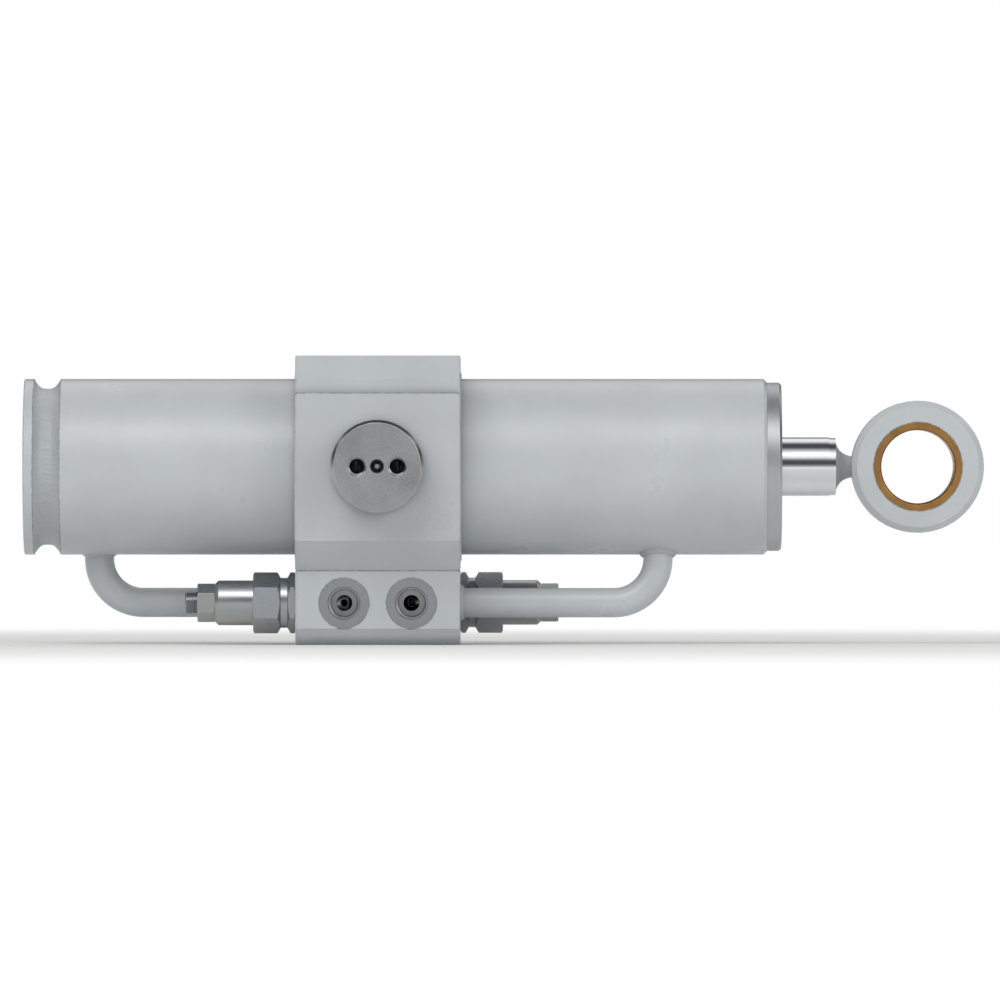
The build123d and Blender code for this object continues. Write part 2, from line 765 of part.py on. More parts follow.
def make_gland_seals():
    """Every ring, band and plug that the gland carries."""
    static_x = gland_x + gland_ring_from_nose
    section = gland_ring_depth - 2 * seal_clear
    floor_r = bore_r - gland_ring_depth + seal_clear
    parts["gland_o_ring"] = o_ring(static_x + section / 2 + gland_ring_offset, floor_r, section)
    backup_x = static_x + gland_ring_width - gland_backup_width
    parts["gland_backup_ring"] = ring(backup_x, static_x + gland_ring_width, floor_r, bore_r - seal_clear)
    parts["gland_mouth_ring"] = o_ring(
        mouth_x - mouth_ring_section / 2, mouth_seat_r - mouth_ring_section - mouth_ring_squeeze, mouth_ring_section
    )
    plug = Pos(mouth_x - lock_plug_back, 0, thread_r - thread_clear - lock_plug_depth / 2) * Cylinder(
        lock_plug_d / 2, lock_plug_depth - lock_plug_gap
    )
    parts["gland_lock_plug"] = plug & bar(cap_face_x, mouth_x, thread_r - thread_clear)

    lip_r = rod_r + seal_clear
    seal_x = gland_x + rod_seal_from_nose
    seal_end = seal_x + rod_seal_width - rod_seal_backup_width
    outer = rod_r + rod_seal_depth - seal_clear
    middle = (lip_r + outer) / 2
    lip_x = seal_x + seal_lip_length
    heel_x = seal_x + seal_lip_length - seal_lip_relief
    parts["rod_seal"] = turned([
        (seal_end, lip_r), (seal_end, outer), (heel_x, outer - seal_lip_relief), (seal_x, outer),
        (seal_x + seal_lip_relief, middle + seal_lip_gape), (lip_x, middle),
        (seal_x + seal_lip_relief, middle - seal_lip_gape), (seal_x, lip_r), (heel_x, lip_r + seal_lip_relief),
    ])
    parts["rod_seal_backup"] = ring(seal_end, seal_end + rod_seal_backup_width, lip_r, outer)
    guide_x = gland_x + guide_from_nose
    parts["rod_guide_band"] = split_band(guide_x + side_gap, guide_x + guide_width - side_gap, lip_r,
                                         rod_r + guide_depth - seal_clear)
    wiper_x = gland_x + wiper_from_nose
    wiper_end = wiper_x + wiper_width
    wiper_out = rod_r + wiper_depth - seal_clear
    notch_x = wiper_x + wiper_notch
    parts["rod_wiper"] = turned([
        (wiper_x, wiper_out), (wiper_x, lip_r), (notch_x - wiper_lip_edge, lip_r), (notch_x, lip_r + wiper_notch),
        (wiper_end + wiper_lip, lip_r), (wiper_end + wiper_lip, lip_r + wiper_lip_edge),
        (wiper_end, lip_r + wiper_depth / 2), (wiper_end, wiper_out),
    ])


def split_band(x0, x1, r_in, r_out):
    """A guide band with a slanted gap where its strip ends meet."""
    gap = Pos((x0 + x1) / 2, 0, (r_in + r_out) / 2) * Rot(0, 0, 30) * Box(
        4 * (x1 - x0), band_split, 4 * (r_out - r_in)
    )
    return ring(x0, x1, r_in, r_out) - gap


def make_rod():
    """The rod: tail, nut thread, piston shank, shoulder, chromed length, end land and eye spigot."""
    tail_end = rod_tail_x + rod_tail_taper
    thread_r_rod = rod_thread_d / 2
    shank_x = piston_x + rod_thread_run
    shank_r = rod_shank_d / 2
    shoulder_x = piston_x + shoulder_from_back
    land_x = rod_end_x - rod_end_land
    land_r = rod_r - rod_end_land_step
    spigot_end = eye_x - eye_d / 2 + eye_spigot_depth
    return turned([
        (rod_tail_x, 0), (rod_tail_x, rod_tail_d / 2), (tail_end, thread_r_rod - rod_tail_step),
        (nut_x, thread_r_rod - rod_tail_step), (nut_x, thread_r_rod), (shank_x, thread_r_rod), (shank_x, shank_r),
        (shoulder_x, shank_r), (shoulder_x, rod_r - shoulder_chamfer), (shoulder_x + shoulder_chamfer, rod_r),
        (land_x, rod_r), (land_x, land_r), (rod_end_x, land_r), (rod_end_x, eye_spigot_d / 2),
        (spigot_end, eye_spigot_d / 2), (spigot_end, 0),
    ])


def make_piston():
    """The piston, with its band and seal grooves outside and its static groove inside."""
    outer = bore_r - piston_clear
    shank_r = rod_shank_d / 2 + fit_clear
    shoulder_x = piston_x + shoulder_from_back
    seat_r = rod_r + fit_clear
    piston = turned([
        (piston_x, shank_r), (piston_x, outer - piston_chamfer), (piston_x + piston_chamfer, outer),
        (piston_face_x - piston_chamfer, outer), (piston_face_x, outer - piston_chamfer),
        (piston_face_x, seat_r), (shoulder_x + shoulder_chamfer, seat_r),
        (shoulder_x, seat_r - shoulder_chamfer), (shoulder_x, shank_r),
    ])
    for start, width, depth in ((band_from_back, band_width, band_depth),
                                (piston_seal_from_back, piston_seal_width, piston_seal_depth)):
        piston -= ring(piston_x + start, piston_x + start + width, bore_r - depth, bore_r + cut_over)
    static_x = piston_x + static_from_back
    piston -= ring(static_x, static_x + static_width, rod_r - cut_over, rod_r + static_depth)
    return piston


def make_piston_rings():
    """The wear band, the compact seal's four rings, and the static seal on the rod."""
    bore_side = bore_r - seal_clear
    band_x = piston_x + band_from_back
    parts["piston_wear_band"] = split_band(band_x + ring_side_gap, band_x + band_width - ring_side_gap,
                                           bore_r - band_depth + ring_side_gap, bore_side)
    seal_x = piston_x + piston_seal_from_back + ring_side_gap
    seal_end = seal_x + piston_seal_width - 2 * ring_side_gap
    floor_r = bore_r - piston_seal_depth + ring_side_gap
    left = ring(seal_x, seal_x + side_ring_width, floor_r, bore_side)
    right = ring(seal_end - side_ring_width, seal_end, floor_r, bore_side)
    parts["piston_side_rings"] = Compound(children=[left.solid(), right.solid()])
    glide_floor = bore_side - glide_ring_height
    inner_x = seal_x + side_ring_width
    inner_end = seal_end - side_ring_width
    parts["piston_glide_ring"] = ring(inner_x, inner_end, glide_floor, bore_side)
    parts["piston_energiser"] = turned([
        (inner_x, floor_r), (inner_end, floor_r), (inner_end - energiser_taper, glide_floor),
        (inner_x + energiser_taper, glide_floor),
    ])
    static_x = piston_x + static_from_back
    section = static_depth - 2 * seal_clear
    parts["piston_static_o_ring"] = o_ring(static_x + section / 2 + static_ring_offset, rod_r + seal_clear, section)
    backup_x = static_x + static_width - static_backup_width
    parts["piston_static_backup"] = ring(backup_x, static_x + static_width, rod_r + seal_clear,
                                         rod_r + static_depth - seal_clear)


def make_nut():
    """The piston nut, a heavy hexagon."""
    return hex_bar(nut_x, nut_x + nut_length, nut_flats, nut_chamfer) - bar(
        nut_x, nut_x + nut_length, rod_thread_d / 2 + fit_clear
    )


def make_rod_end_weld():
    """The neck between the rod and the eye: a ring weld with a concave face."""
    inner = eye_spigot_d / 2 + fit_clear
    neck_r = neck_d / 2
    far_x = eye_x - eye_d / 4
    low = neck_fillet * (1 - math.sqrt(0.5))
    arc = ThreePointArc(
        (rod_end_x, neck_r + neck_fillet), (rod_end_x + low, neck_r + low), (rod_end_x + neck_fillet, neck_r)
    )
    rest = Polyline(
        (rod_end_x + neck_fillet, neck_r), (far_x, neck_r), (far_x, inner), (rod_end_x, inner),
        (rod_end_x, neck_r + neck_fillet),
    )
    neck = revolve(Plane.XZ * make_face(arc + rest), Axis.X)
    return neck - Pos(eye_x, 0, 0) * Rot(90, 0, 0) * Cylinder(eye_d / 2, 2 * eye_width)


def make_rod_eye():
    """The eye, a thick ring across the rod with chamfered faces."""
    eye = Pos(eye_x, 0, 0) * Rot(90, 0, 0) * Cylinder(eye_d / 2, eye_width)
    eye = chamfer(eye.edges().filter_by(GeomType.CIRCLE), eye_chamfer)
    bush_r = bush_bore_d / 2 + bush_wall + fit_clear
    eye -= Pos(eye_x, 0, 0) * Rot(90, 0, 0) * Cylinder(bush_r, eye_width)
    spigot_end = eye_x - eye_d / 2 + eye_spigot_depth + fit_clear
    return eye - bar(eye_x - eye_d / 2 - cut_over, spigot_end, eye_spigot_d / 2 + fit_clear)


def make_eye_bush():
    """The plain bush pressed into the eye, with chamfered mouths."""
    outer_r = bush_bore_d / 2 + bush_wall
    bore = bush_bore_d / 2
    half = eye_width / 2
    section = Plane.XY * make_face(Polyline(
        (bore + bush_chamfer, -half), (outer_r, -half), (outer_r, half), (bore + bush_chamfer, half),
        (bore, half - bush_chamfer), (bore, -half + bush_chamfer), close=True,
    ))
    return Pos(eye_x, 0, 0) * revolve(section, Axis.Y)


parts["barrel_tube"] = make_barrel_tube()
parts["base_cap"] = make_base_cap()
parts["base_weld"] = make_base_weld()
parts["trunnion_block"] = make_trunnion_block()
parts["block_welds"] = make_block_welds()
parts["trunnion_pin_front"] = make_trunnion_pin(-1)
parts["trunnion_pin_back"] = make_trunnion_pin(1)
parts["manifold_block"] = make_manifold()
parts["manifold_screws"] = make_manifold_screws()
make_pipes()
make_cartridges()
parts["gland"] = make_gland()
make_gland_seals()
parts["piston_rod"] = make_rod()
parts["piston"] = make_piston()
parts["piston_nut"] = make_nut()
make_piston_rings()
parts["rod_end_weld"] = make_rod_end_weld()
parts["rod_eye"] = make_rod_eye()
parts["eye_bush"] = make_eye_bush()

os.makedirs("parts", exist_ok=True)
for name, shape in parts.items():
    export_step(shape, f"parts/{name}.step")
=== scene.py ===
"""Hydraulic slave cylinder: finishes, weld beads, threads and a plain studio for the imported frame."""
import logging
import math
from dataclasses import dataclass, field
from enum import Enum
from functools import partial
from typing import Any, Callable, Sequence

import bmesh
import bpy
from bmesh.types import BMEdge, BMesh, BMVert
from bpy.types import ID, Material, Node, NodeSocket, NodeTree, Object, World
from mathutils import Matrix, Vector


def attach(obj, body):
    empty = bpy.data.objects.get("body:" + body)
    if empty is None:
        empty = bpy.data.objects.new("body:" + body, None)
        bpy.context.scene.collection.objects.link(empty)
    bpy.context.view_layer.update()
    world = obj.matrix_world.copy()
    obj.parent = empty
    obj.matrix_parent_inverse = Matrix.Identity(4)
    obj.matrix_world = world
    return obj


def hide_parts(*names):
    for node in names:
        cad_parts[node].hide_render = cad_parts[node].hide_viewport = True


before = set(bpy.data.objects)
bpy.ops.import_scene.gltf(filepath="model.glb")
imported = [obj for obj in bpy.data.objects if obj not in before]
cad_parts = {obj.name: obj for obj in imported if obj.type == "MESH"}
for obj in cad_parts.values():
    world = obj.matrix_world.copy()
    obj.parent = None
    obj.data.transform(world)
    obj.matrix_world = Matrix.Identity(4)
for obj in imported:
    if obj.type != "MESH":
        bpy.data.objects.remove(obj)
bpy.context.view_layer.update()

MM = 0.001
# Points that are nearer to each other than this, in millimetres, are one point.
JOIN = 1e-3
FULL_TURN = 2 * math.pi
LOG = logging.getLogger("hydraulic_cylinder")

Point = tuple[float, float]
Place = tuple[float, float, float]
AddNode = Callable[..., Node]


class Axis(Enum):
    """The frame axis that a turned surface or a spun section goes round."""

    X = (1.0, 0.0, 0.0)
    Y = (0.0, 1.0, 0.0)
    Z = (0.0, 0.0, 1.0)


class Side(Enum):
    """The end of the manifold that a cartridge sits in, by its sign along X."""

    LEFT = -1
    RIGHT = 1


def linear(colour: str) -> tuple[float, float, float, float]:
    """Turn an sRGB hex colour into the linear colour that a shader takes.

    Args:
        colour: The colour as "#RRGGBB".

    Returns:
        Linear red, green and blue, and an alpha of 1.
    """
    channels = [int(colour[i:i + 2], 16) / 255 for i in (1, 3, 5)]
    red, green, blue = (c / 12.92 if c <= 0.04045 else ((c + 0.055) / 1.055) ** 2.4 for c in channels)
    return red, green, blue, 1.0


def add_node(tree: NodeTree, kind: str, inputs: dict[Any, Any] | None = None, **settings: Any) -> Node:
    """Add one shader node with its settings, values and links.

    Args:
        tree: The node tree of the material or world.
        kind: Blender's name of the node type, without the ShaderNode in front.
        inputs: A value, an output or a node, which gives its first output, for each input by name or number.
        settings: The node's own properties.

    Returns:
        The new node.
    """
    node = tree.nodes.new(f"ShaderNode{kind}")
    for key, value in settings.items():
        setattr(node, key, value)
    for key, value in (inputs or {}).items():
        if isinstance(value, Node):
            value = next(output for output in value.outputs if output.enabled)
        if isinstance(value, NodeSocket):
            tree.links.new(value, node.inputs[key])
        else:
            node.inputs[key].default_value = value
    return node


def start_nodes(owner: Material | World) -> AddNode:
    """Empty the node tree of a new material or world.

    Args:
        owner: The material or world.

    Returns:
        add_node for that tree.
    """
    owner.use_nodes = True
    owner.node_tree.nodes.clear()
    return partial(add_node, owner.node_tree)


@dataclass(frozen=True)
class Finish:
    """What every finish has. Colours are sRGB hex and sizes are millimetres."""

    name: str
    colour: str
    stain: str
    roughness: float
    edge_radius: float = 0.5
    wear_reach: float = 1.5

    def material(self) -> Material:
        """Make the finish's material once, and hand out the same one after that.

        Returns:
            The material.
        """
        made = bpy.data.materials.get(self.name)
        if made is None:
            made = bpy.data.materials.new(self.name)
            made.diffuse_color = linear(self.colour)
            add = start_nodes(made)
            add("OutputMaterial", {"Surface": add("BsdfPrincipled", self.surface(add))})
        return made

    def surface(self, add: AddNode) -> dict[str, Any]:
        """Build what the finish's shader is fed with. Each kind of finish has its own.

        Args:
            add: Adds a node to the material.

        Returns:
            The shader's inputs.
        """
        raise NotImplementedError

    def outside_corner(self, add: AddNode) -> Node:
        """Find the outside corners, where the metal under the surface is thin.

        Args:
            add: Adds a node to the material.

        Returns:
            A value that is 0 on flats and in hollows and rises towards outside corners.
        """
        thickness = add("AmbientOcclusion", {"Distance": self.wear_reach * MM}, samples=6, inside=True,
                        only_local=True)
        return add("Math", {0: 1.0, 1: thickness.outputs["AO"]}, operation="SUBTRACT", use_clamp=True)

    def relief(self, add: AddNode, pattern: Node, height: float, strength: float = 0.5) -> Node:
        """Raise a pattern on a surface whose edges look slightly rounded.

        Args:
            add: Adds a node to the material.
            pattern: What is raised, from 0 to 1.
            height: How far it rises, in millimetres.
            strength: How much of that shows.

        Returns:
            The surface's direction.
        """
        rounded = add("Bevel", {"Radius": self.edge_radius * MM}, samples=4)
        return add("Bump", {"Strength": strength, "Distance": height * MM, "Height": pattern, "Normal": rounded})


# In a MapRange, inputs 1 and 2 are the range that it reads, and 3 and 4 the range that it gives.
# Most of a noise lies between these two values.
LOW, HIGH = 0.3, 0.7
# How strongly paint, rubber and plastic bend light.
FILM_IOR = 1.5


@dataclass(frozen=True)
class MachineEnamel(Finish):
    """Sprayed two-part enamel: a semi-gloss film with orange peel, thin and chipped on sharp corners."""

    primer: str = "#6E7276"
    # The colour that corners and crevices are darkened towards: partly grime, partly painted shade.
    grime_and_shade_colour: str = "#4B4A46"
    peel_size: float = 2.2
    peel_height: float = 0.028
    cloud_size: float = 55.0
    cloud_range: Point = (0.36, 0.76)
    cloud_part: float = 0.7
    chip_size: float = 3.0
    chip_start: float = 0.14
    chip_fade: float = 0.04
    grime_and_shade_reach: float = 7.0
    grime_and_shade_range: Point = (0.25, 0.85)
    grime_and_shade_part: float = 0.45
    gloss_swing: Point = (-0.05, 0.07)

    def surface(self, add: AddNode) -> dict[str, Any]:
        """Build the paint film, its peel, its chips, and the grime and painted shade that darken its corners and
        crevices.

        Args:
            add: Adds a node to the material.

        Returns:
            The shader's inputs.
        """
        place = add("TexCoord").outputs["Object"]
        clouds, peel, chips = (
            add("TexNoise", {"Vector": place, "Scale": 1 / (size * MM), "Detail": fine, "Roughness": rough})
            for size, fine, rough in ((self.cloud_size, 5.0, 0.55), (self.peel_size, 1.5, 0.4),
                                      (self.chip_size, 5.0, 0.7)))
        # Ambient occlusion darkens the paint in corners and crevices: partly grime, partly painted shade.
        crevice = add("AmbientOcclusion", {"Distance": self.grime_and_shade_reach * MM}, samples=4)
        low, high = self.cloud_range
        clouded = add("MapRange", {"Value": clouds, 1: low, 2: high, 3: 0.0, 4: self.cloud_part})
        paint = add("Mix", {"Factor": clouded, "A": linear(self.colour), "B": linear(self.stain)}, data_type="RGBA")
        low, high = self.grime_and_shade_range
        grimy_and_shaded = add("MapRange", {"Value": crevice.outputs["AO"], 1: low, 2: high, 3: self.grime_and_shade_part, 4: 0.0})
        soiled_and_shaded = add("Mix", {"Factor": grimy_and_shaded, "A": paint, "B": linear(self.grime_and_shade_colour)}, data_type="RGBA")
        corner = add("Math", {0: self.outside_corner(add), 1: chips}, operation="MULTIPLY")
        bare = add("MapRange", {"Value": corner, 1: self.chip_start, 2: self.chip_start + self.chip_fade},
                   interpolation_type="SMOOTHSTEP")
        skin = add("Mix", {"Factor": bare, "A": soiled_and_shaded, "B": linear(self.primer)}, data_type="RGBA")
        smooth, rough = (self.roughness + swing for swing in self.gloss_swing)
        gloss = add("MapRange", {"Value": clouds, 1: LOW, 2: HIGH, 3: smooth, 4: rough})
        return {"Base Color": skin, "Roughness": gloss, "IOR": FILM_IOR,
                "Normal": self.relief(add, peel, self.peel_height, strength=0.6)}


@dataclass(frozen=True)
class PortedEnamel(MachineEnamel):
    """The same enamel on the manifold, masked off at the ports, where the cut steel is left bare."""

    port_x: float = 22.9
    port_z: float = -92.8
    bare_radius: float = 17.06
    steel: str = "#A9ACAF"
    steel_roughness: float = 0.3
    # The cutter's marks are a few tenths of a millimetre apart, too fine to show, so they are drawn coarser.
    ring_spacing: float = 0.9
    ring_height: float = 0.03

    def surface(self, add: AddNode) -> dict[str, Any]:
        """Build the paint, then lay bare machined steel over it inside each port's spotface.

        Args:
            add: Adds a node to the material.

        Returns:
            The shader's inputs.
        """
        surface = super().surface(add)
        place = add("TexCoord").outputs["Object"]
        folded = add("VectorMath", {0: place}, operation="ABSOLUTE")
        offset = add("VectorMath", {0: folded, 1: (self.port_x * MM, 0.0, -self.port_z * MM)}, operation="SUBTRACT")
        across = add("VectorMath", {0: offset, 1: (1.0, 0.0, 1.0)}, operation="MULTIPLY")
        radius = add("VectorMath", {0: across}, operation="LENGTH")
        near = add("Math", {0: radius, 1: self.bare_radius * MM}, operation="LESS_THAN")
        split = add("SeparateXYZ", {0: place})
        front = add("Math", {0: split.outputs["Y"], 1: 0.0}, operation="LESS_THAN")
        inside = add("Math", {0: near, 1: front}, operation="MULTIPLY")
        rings = add("TexNoise", {"W": radius, "Scale": 1 / (self.ring_spacing * MM), "Detail": 3.0},
                    noise_dimensions="1D")
        cut = add("Bump", {"Strength": 0.5, "Distance": self.ring_height * MM, "Height": rings})
        for key, kind, metal in (("Base Color", "RGBA", linear(self.steel)),
                                 ("Roughness", "FLOAT", self.steel_roughness), ("Normal", "VECTOR", cut)):
            surface[key] = add("Mix", {"Factor": inside, "A": surface[key], "B": metal}, data_type=kind)
        return surface | {"Metallic": inside}


@dataclass(frozen=True)
class TurnedMetal(Finish):
    """Metal turned or ground on a lathe: fine rings round its axis that draw the light into streaks."""

    axis: Axis = Axis.X
    centre: Place = (0.0, 0.0, 0.0)
    # Turned and ground marks are under half a millimetre apart, too fine to show, so they are drawn coarser.
    ring_spacing: float = 0.8
    ring_height: float = 0.02
    anisotropy: float = 0.5
    stain_size: float = 30.0
    stain_range: Point = (0.42, 0.75)
    stain_part: float = 0.5
    # The smoothest and the roughest rings, as shares of the roughness.
    gloss_shares: Point = (0.8, 1.25)

    def surface(self, add: AddNode) -> dict[str, Any]:
        """Build the rings, the streaked highlight and the handling stains.

        Args:
            add: Adds a node to the material.

        Returns:
            The shader's inputs.
        """
        axis = self.axis.value
        place = add("TexCoord").outputs["Object"]
        offset = add("VectorMath", {0: place, 1: tuple(c * MM for c in self.centre)}, operation="SUBTRACT")
        spoke = add("VectorMath", {0: offset, 1: tuple(1.0 - part for part in axis)}, operation="MULTIPLY")
        radius = add("VectorMath", {0: spoke}, operation="LENGTH")
        along = add("VectorMath", {0: offset, 1: axis}, operation="DOT_PRODUCT")
        lathe_feed = add("Math", {0: radius, 1: along}, operation="ADD")
        rings = add("TexNoise", {"W": lathe_feed, "Scale": 1 / (self.ring_spacing * MM), "Detail": 4.0,
                                 "Roughness": 0.6}, noise_dimensions="1D")
        stains = add("TexNoise", {"Vector": place, "Scale": 1 / (self.stain_size * MM), "Detail": 5.0,
                                  "Roughness": 0.6})
        low, high = self.stain_range
        stained = add("MapRange", {"Value": stains, 1: low, 2: high, 3: 0.0, 4: self.stain_part})
        skin = add("Mix", {"Factor": stained, "A": linear(self.colour), "B": linear(self.stain)}, data_type="RGBA")
        smooth, rough = (self.roughness * share for share in self.gloss_shares)
        gloss = add("MapRange", {"Value": rings, 1: LOW, 2: HIGH, 3: smooth, 4: rough})
        round_it = add("VectorMath", {0: axis, 1: spoke}, operation="CROSS_PRODUCT")
        grain = add("VectorTransform", {0: round_it}, vector_type="VECTOR", convert_from="OBJECT", convert_to="WORLD")
        grain_way = add("VectorMath", {0: grain}, operation="NORMALIZE")
        return {"Base Color": skin, "Metallic": 1.0, "Roughness": gloss, "Anisotropic": self.anisotropy,
                "Tangent": grain_way, "Normal": self.relief(add, rings, self.ring_height)}


@dataclass(frozen=True)
class PlatedSteel(Finish):
    """Steel with a thin plated or oiled skin: an even sheen that drifts in tint, rubbed on its corners."""

    rubbed: str = "#D2D4D6"
    drift_size: float = 14.0
    drift_range: Point = (0.35, 0.65)
    # The skin's own grain is too fine to show, so it is drawn coarser.
    grain_size: float = 1.0
    grain_height: float = 0.004
    rub_start: float = 0.18
    rub_fade: float = 0.05
    rub_part: float = 0.8
    gloss_swing: Point = (-0.06, 0.08)

    def surface(self, add: AddNode) -> dict[str, Any]:
        """Build the skin's drift of tint, its grain and its rubbed corners.

        Args:
            add: Adds a node to the material.

        Returns:
            The shader's inputs.
        """
        place = add("TexCoord").outputs["Object"]
        drift, grain = (add("TexNoise", {"Vector": place, "Scale": 1 / (size * MM), "Detail": 2.0})
                        for size in (self.drift_size, self.grain_size))
        low, high = self.drift_range
        tint = add("MapRange", {"Value": drift, 1: low, 2: high})
        skin = add("Mix", {"Factor": tint, "A": linear(self.colour), "B": linear(self.stain)}, data_type="RGBA")
        corner = add("Math", {0: self.outside_corner(add), 1: grain}, operation="MULTIPLY")
        worn = add("MapRange", {"Value": corner, 1: self.rub_start, 2: self.rub_start + self.rub_fade, 3: 0.0,
                                4: self.rub_part}, interpolation_type="SMOOTHSTEP")
        shown = add("Mix", {"Factor": worn, "A": skin, "B": linear(self.rubbed)}, data_type="RGBA")
        smooth, rough = (self.roughness + swing for swing in self.gloss_swing)
        gloss = add("MapRange", {"Value": drift, 1: LOW, 2: HIGH, 3: smooth, 4: rough})
        return {"Base Color": shown, "Metallic": 1.0, "Roughness": gloss,
                "Normal": self.relief(add, grain, self.grain_height)}


@dataclass(frozen=True)
class MouldedSeal(Finish):
    """Moulded rubber or plastic: a dull skin with a fine grain, a little paler where it is handled."""

    # A mould's grain is too fine to show, so it is drawn coarser.
    grain_size: float = 0.5
    grain_height: float = 0.015
    patch_size: float = 9.0
    gloss_swing: Point = (-0.05, 0.1)
    glow: float = 0.0
    glow_reach: float = 2.0

    def surface(self, add: AddNode) -> dict[str, Any]:
        """Build the moulded skin, its patches and its grain.

        Args:
            add: Adds a node to the material.

        Returns:
            The shader's inputs.
        """
        place = add("TexCoord").outputs["Object"]
        patches, grain = (add("TexNoise", {"Vector": place, "Scale": 1 / (size * MM), "Detail": fine})
                          for size, fine in ((self.patch_size, 4.0), (self.grain_size, 2.0)))
        skin = add("Mix", {"Factor": patches, "A": linear(self.colour), "B": linear(self.stain)}, data_type="RGBA")
        smooth, rough = (self.roughness + swing for swing in self.gloss_swing)
        gloss = add("MapRange", {"Value": patches, 1: LOW, 2: HIGH, 3: smooth, 4: rough})
        relief = add("Bump", {"Strength": 0.5, "Distance": self.grain_height * MM, "Height": grain})
        return {"Base Color": skin, "Roughness": gloss, "IOR": FILM_IOR, "Normal": relief,
                "Subsurface Weight": self.glow, "Subsurface Scale": self.glow_reach * MM}


EYE_X = 368.0
# Light grey two-part enamel: soft, broad highlights with a slight orange peel.
ENAMEL = MachineEnamel("grey_machine_enamel", "#BFC4C7", "#B1B6B9", 0.31)
# The same enamel over weld: it runs thin on the ripples, is darkened between them by grime and painted shade, and it
# doesn't chip.
WELD_ENAMEL = MachineEnamel("enamel_over_weld", "#B3B8BB", "#A3A8AB", 0.4, edge_radius=0.2, peel_size=0.9,
                            peel_height=0.05, chip_start=2.0, grime_and_shade_reach=3.0)
# The same enamel on the manifold, with bare cut steel where its ports were masked off.
MANIFOLD_ENAMEL = PortedEnamel("masked_manifold_enamel", "#BFC4C7", "#B1B6B9", 0.31)
# Ground alloy steel, oiled: bright, with the grinder's rings across the face.
PIN_STEEL = TurnedMetal("ground_trunnion_steel", "#B4B6B8", "#8E8C88", 0.24, axis=Axis.Y, ring_spacing=1.1,
                        anisotropy=0.6, stain_part=0.45)
# Hardened valve steel, ground: a shade darker and smoother than the pins.
VALVE_STEEL = TurnedMetal("ground_valve_steel", "#AFB1B3", "#8F8E8B", 0.22, centre=(0.0, 0.0, -92.8))
# Hard chrome on a ground rod: near mirror, cool, with the last polish running round it.
ROD_CHROME = TurnedMetal("hard_chrome", "#CDD1D4", "#B9BDC0", 0.09, ring_spacing=1.4, ring_height=0.006,
                         anisotropy=0.35, stain_size=60.0, stain_part=0.3)
# Natural anodised aluminium: satin, a shade warmer and duller than the rod.
ANODISED = TurnedMetal("natural_anodised_aluminium", "#BDBFC2", "#AAACAE", 0.36, ring_spacing=0.9,
                       ring_height=0.03, anisotropy=0.5, stain_part=0.3)
# Cast bearing bronze, bored and faced: warm, with brown handling stains.
BUSH_BRONZE = TurnedMetal("turned_bearing_bronze", "#B98C55", "#7E5A34", 0.3, axis=Axis.Y,
                          centre=(EYE_X, 0.0, 0.0), ring_spacing=0.7, anisotropy=0.45, stain_size=12.0)
# Bright zinc with a clear passivation: it drifts between a blue and a straw tint.
ZINC = PlatedSteel("clear_zinc_plate", "#B3B9C0", "#B9B8B2", 0.3, drift_size=30.0)
# The same plating on a fine thread, which has no corners broad enough to rub bright.
THREAD_ZINC = PlatedSteel("clear_zinc_thread", "#A3A9B0", "#A9A8A2", 0.32, edge_radius=0.08, drift_size=30.0,
                          rub_start=2.0)
# Black oxide on screws and nuts, oiled: a deep satin black that rubs brown-grey on its corners.
BLACK_OXIDE = PlatedSteel("oiled_black_oxide", "#2B2C2F", "#35322F", 0.42, rubbed="#6B655E", rub_start=0.15)
# Oil-tempered spring wire: dark grey and satin, with a brown drift from its heat treatment.
SPRING_STEEL = PlatedSteel("oil_tempered_spring_steel", "#4B4C50", "#3E3C3B", 0.36, edge_radius=0.3)
# Moulded nitrile rubber: dull black, a little greyer where it is handled.
NITRILE = MouldedSeal("nitrile_rubber", "#17181A", "#242527", 0.55)
# Moulded polyurethane: blue and waxy, and it lets a little light in.
POLYURETHANE = MouldedSeal("blue_polyurethane", "#2F4E7E", "#3C5E90", 0.38, glow=0.1)
# PTFE filled with bronze powder: a dull brown with a finer grain than rubber.
PTFE = MouldedSeal("bronze_filled_ptfe", "#54483A", "#625443", 0.5, grain_size=0.3)
# Natural nylon: off-white, and it lets a little light in.
NYLON = MouldedSeal("natural_nylon", "#DDD9CC", "#D1CBB9", 0.42, glow=0.15)


def dress(finish: Finish, *nodes: str) -> None:
    """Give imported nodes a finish, without touching their meshes.

    Args:
        finish: The finish that they get.
        nodes: The nodes' names.
    """
    for node in nodes:
        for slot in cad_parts[node].material_slots:
            slot.material = finish.material()
        LOG.info("dressed %s in %s", node, finish.name)


def add_object(name: str, data: ID) -> Object:
    """Put a mesh, lamp or camera in the scene.

    Args:
        name: The object's name.
        data: The mesh, lamp or camera.

    Returns:
        The new object.
    """
    made = bpy.data.objects.new(name, data)
    bpy.context.scene.collection.objects.link(made)
    return made


def add_mesh(mesh: BMesh, name: str, material: Material) -> Object:
    """Put a built mesh in the scene with one material, and free it.

    Args:
        mesh: The mesh.
        name: The object's name.
        material: Its material.

    Returns:
        The new object.
    """
    data = bpy.data.meshes.new(name)
    mesh.to_mesh(data)
    mesh.free()
    data.materials.append(material)
    return add_object(name, data)


# The angle in degrees past which an edge stays crisp, on a thread and elsewhere.
THREAD_SHARP, PLAIN_SHARP = 25.0, 34.0


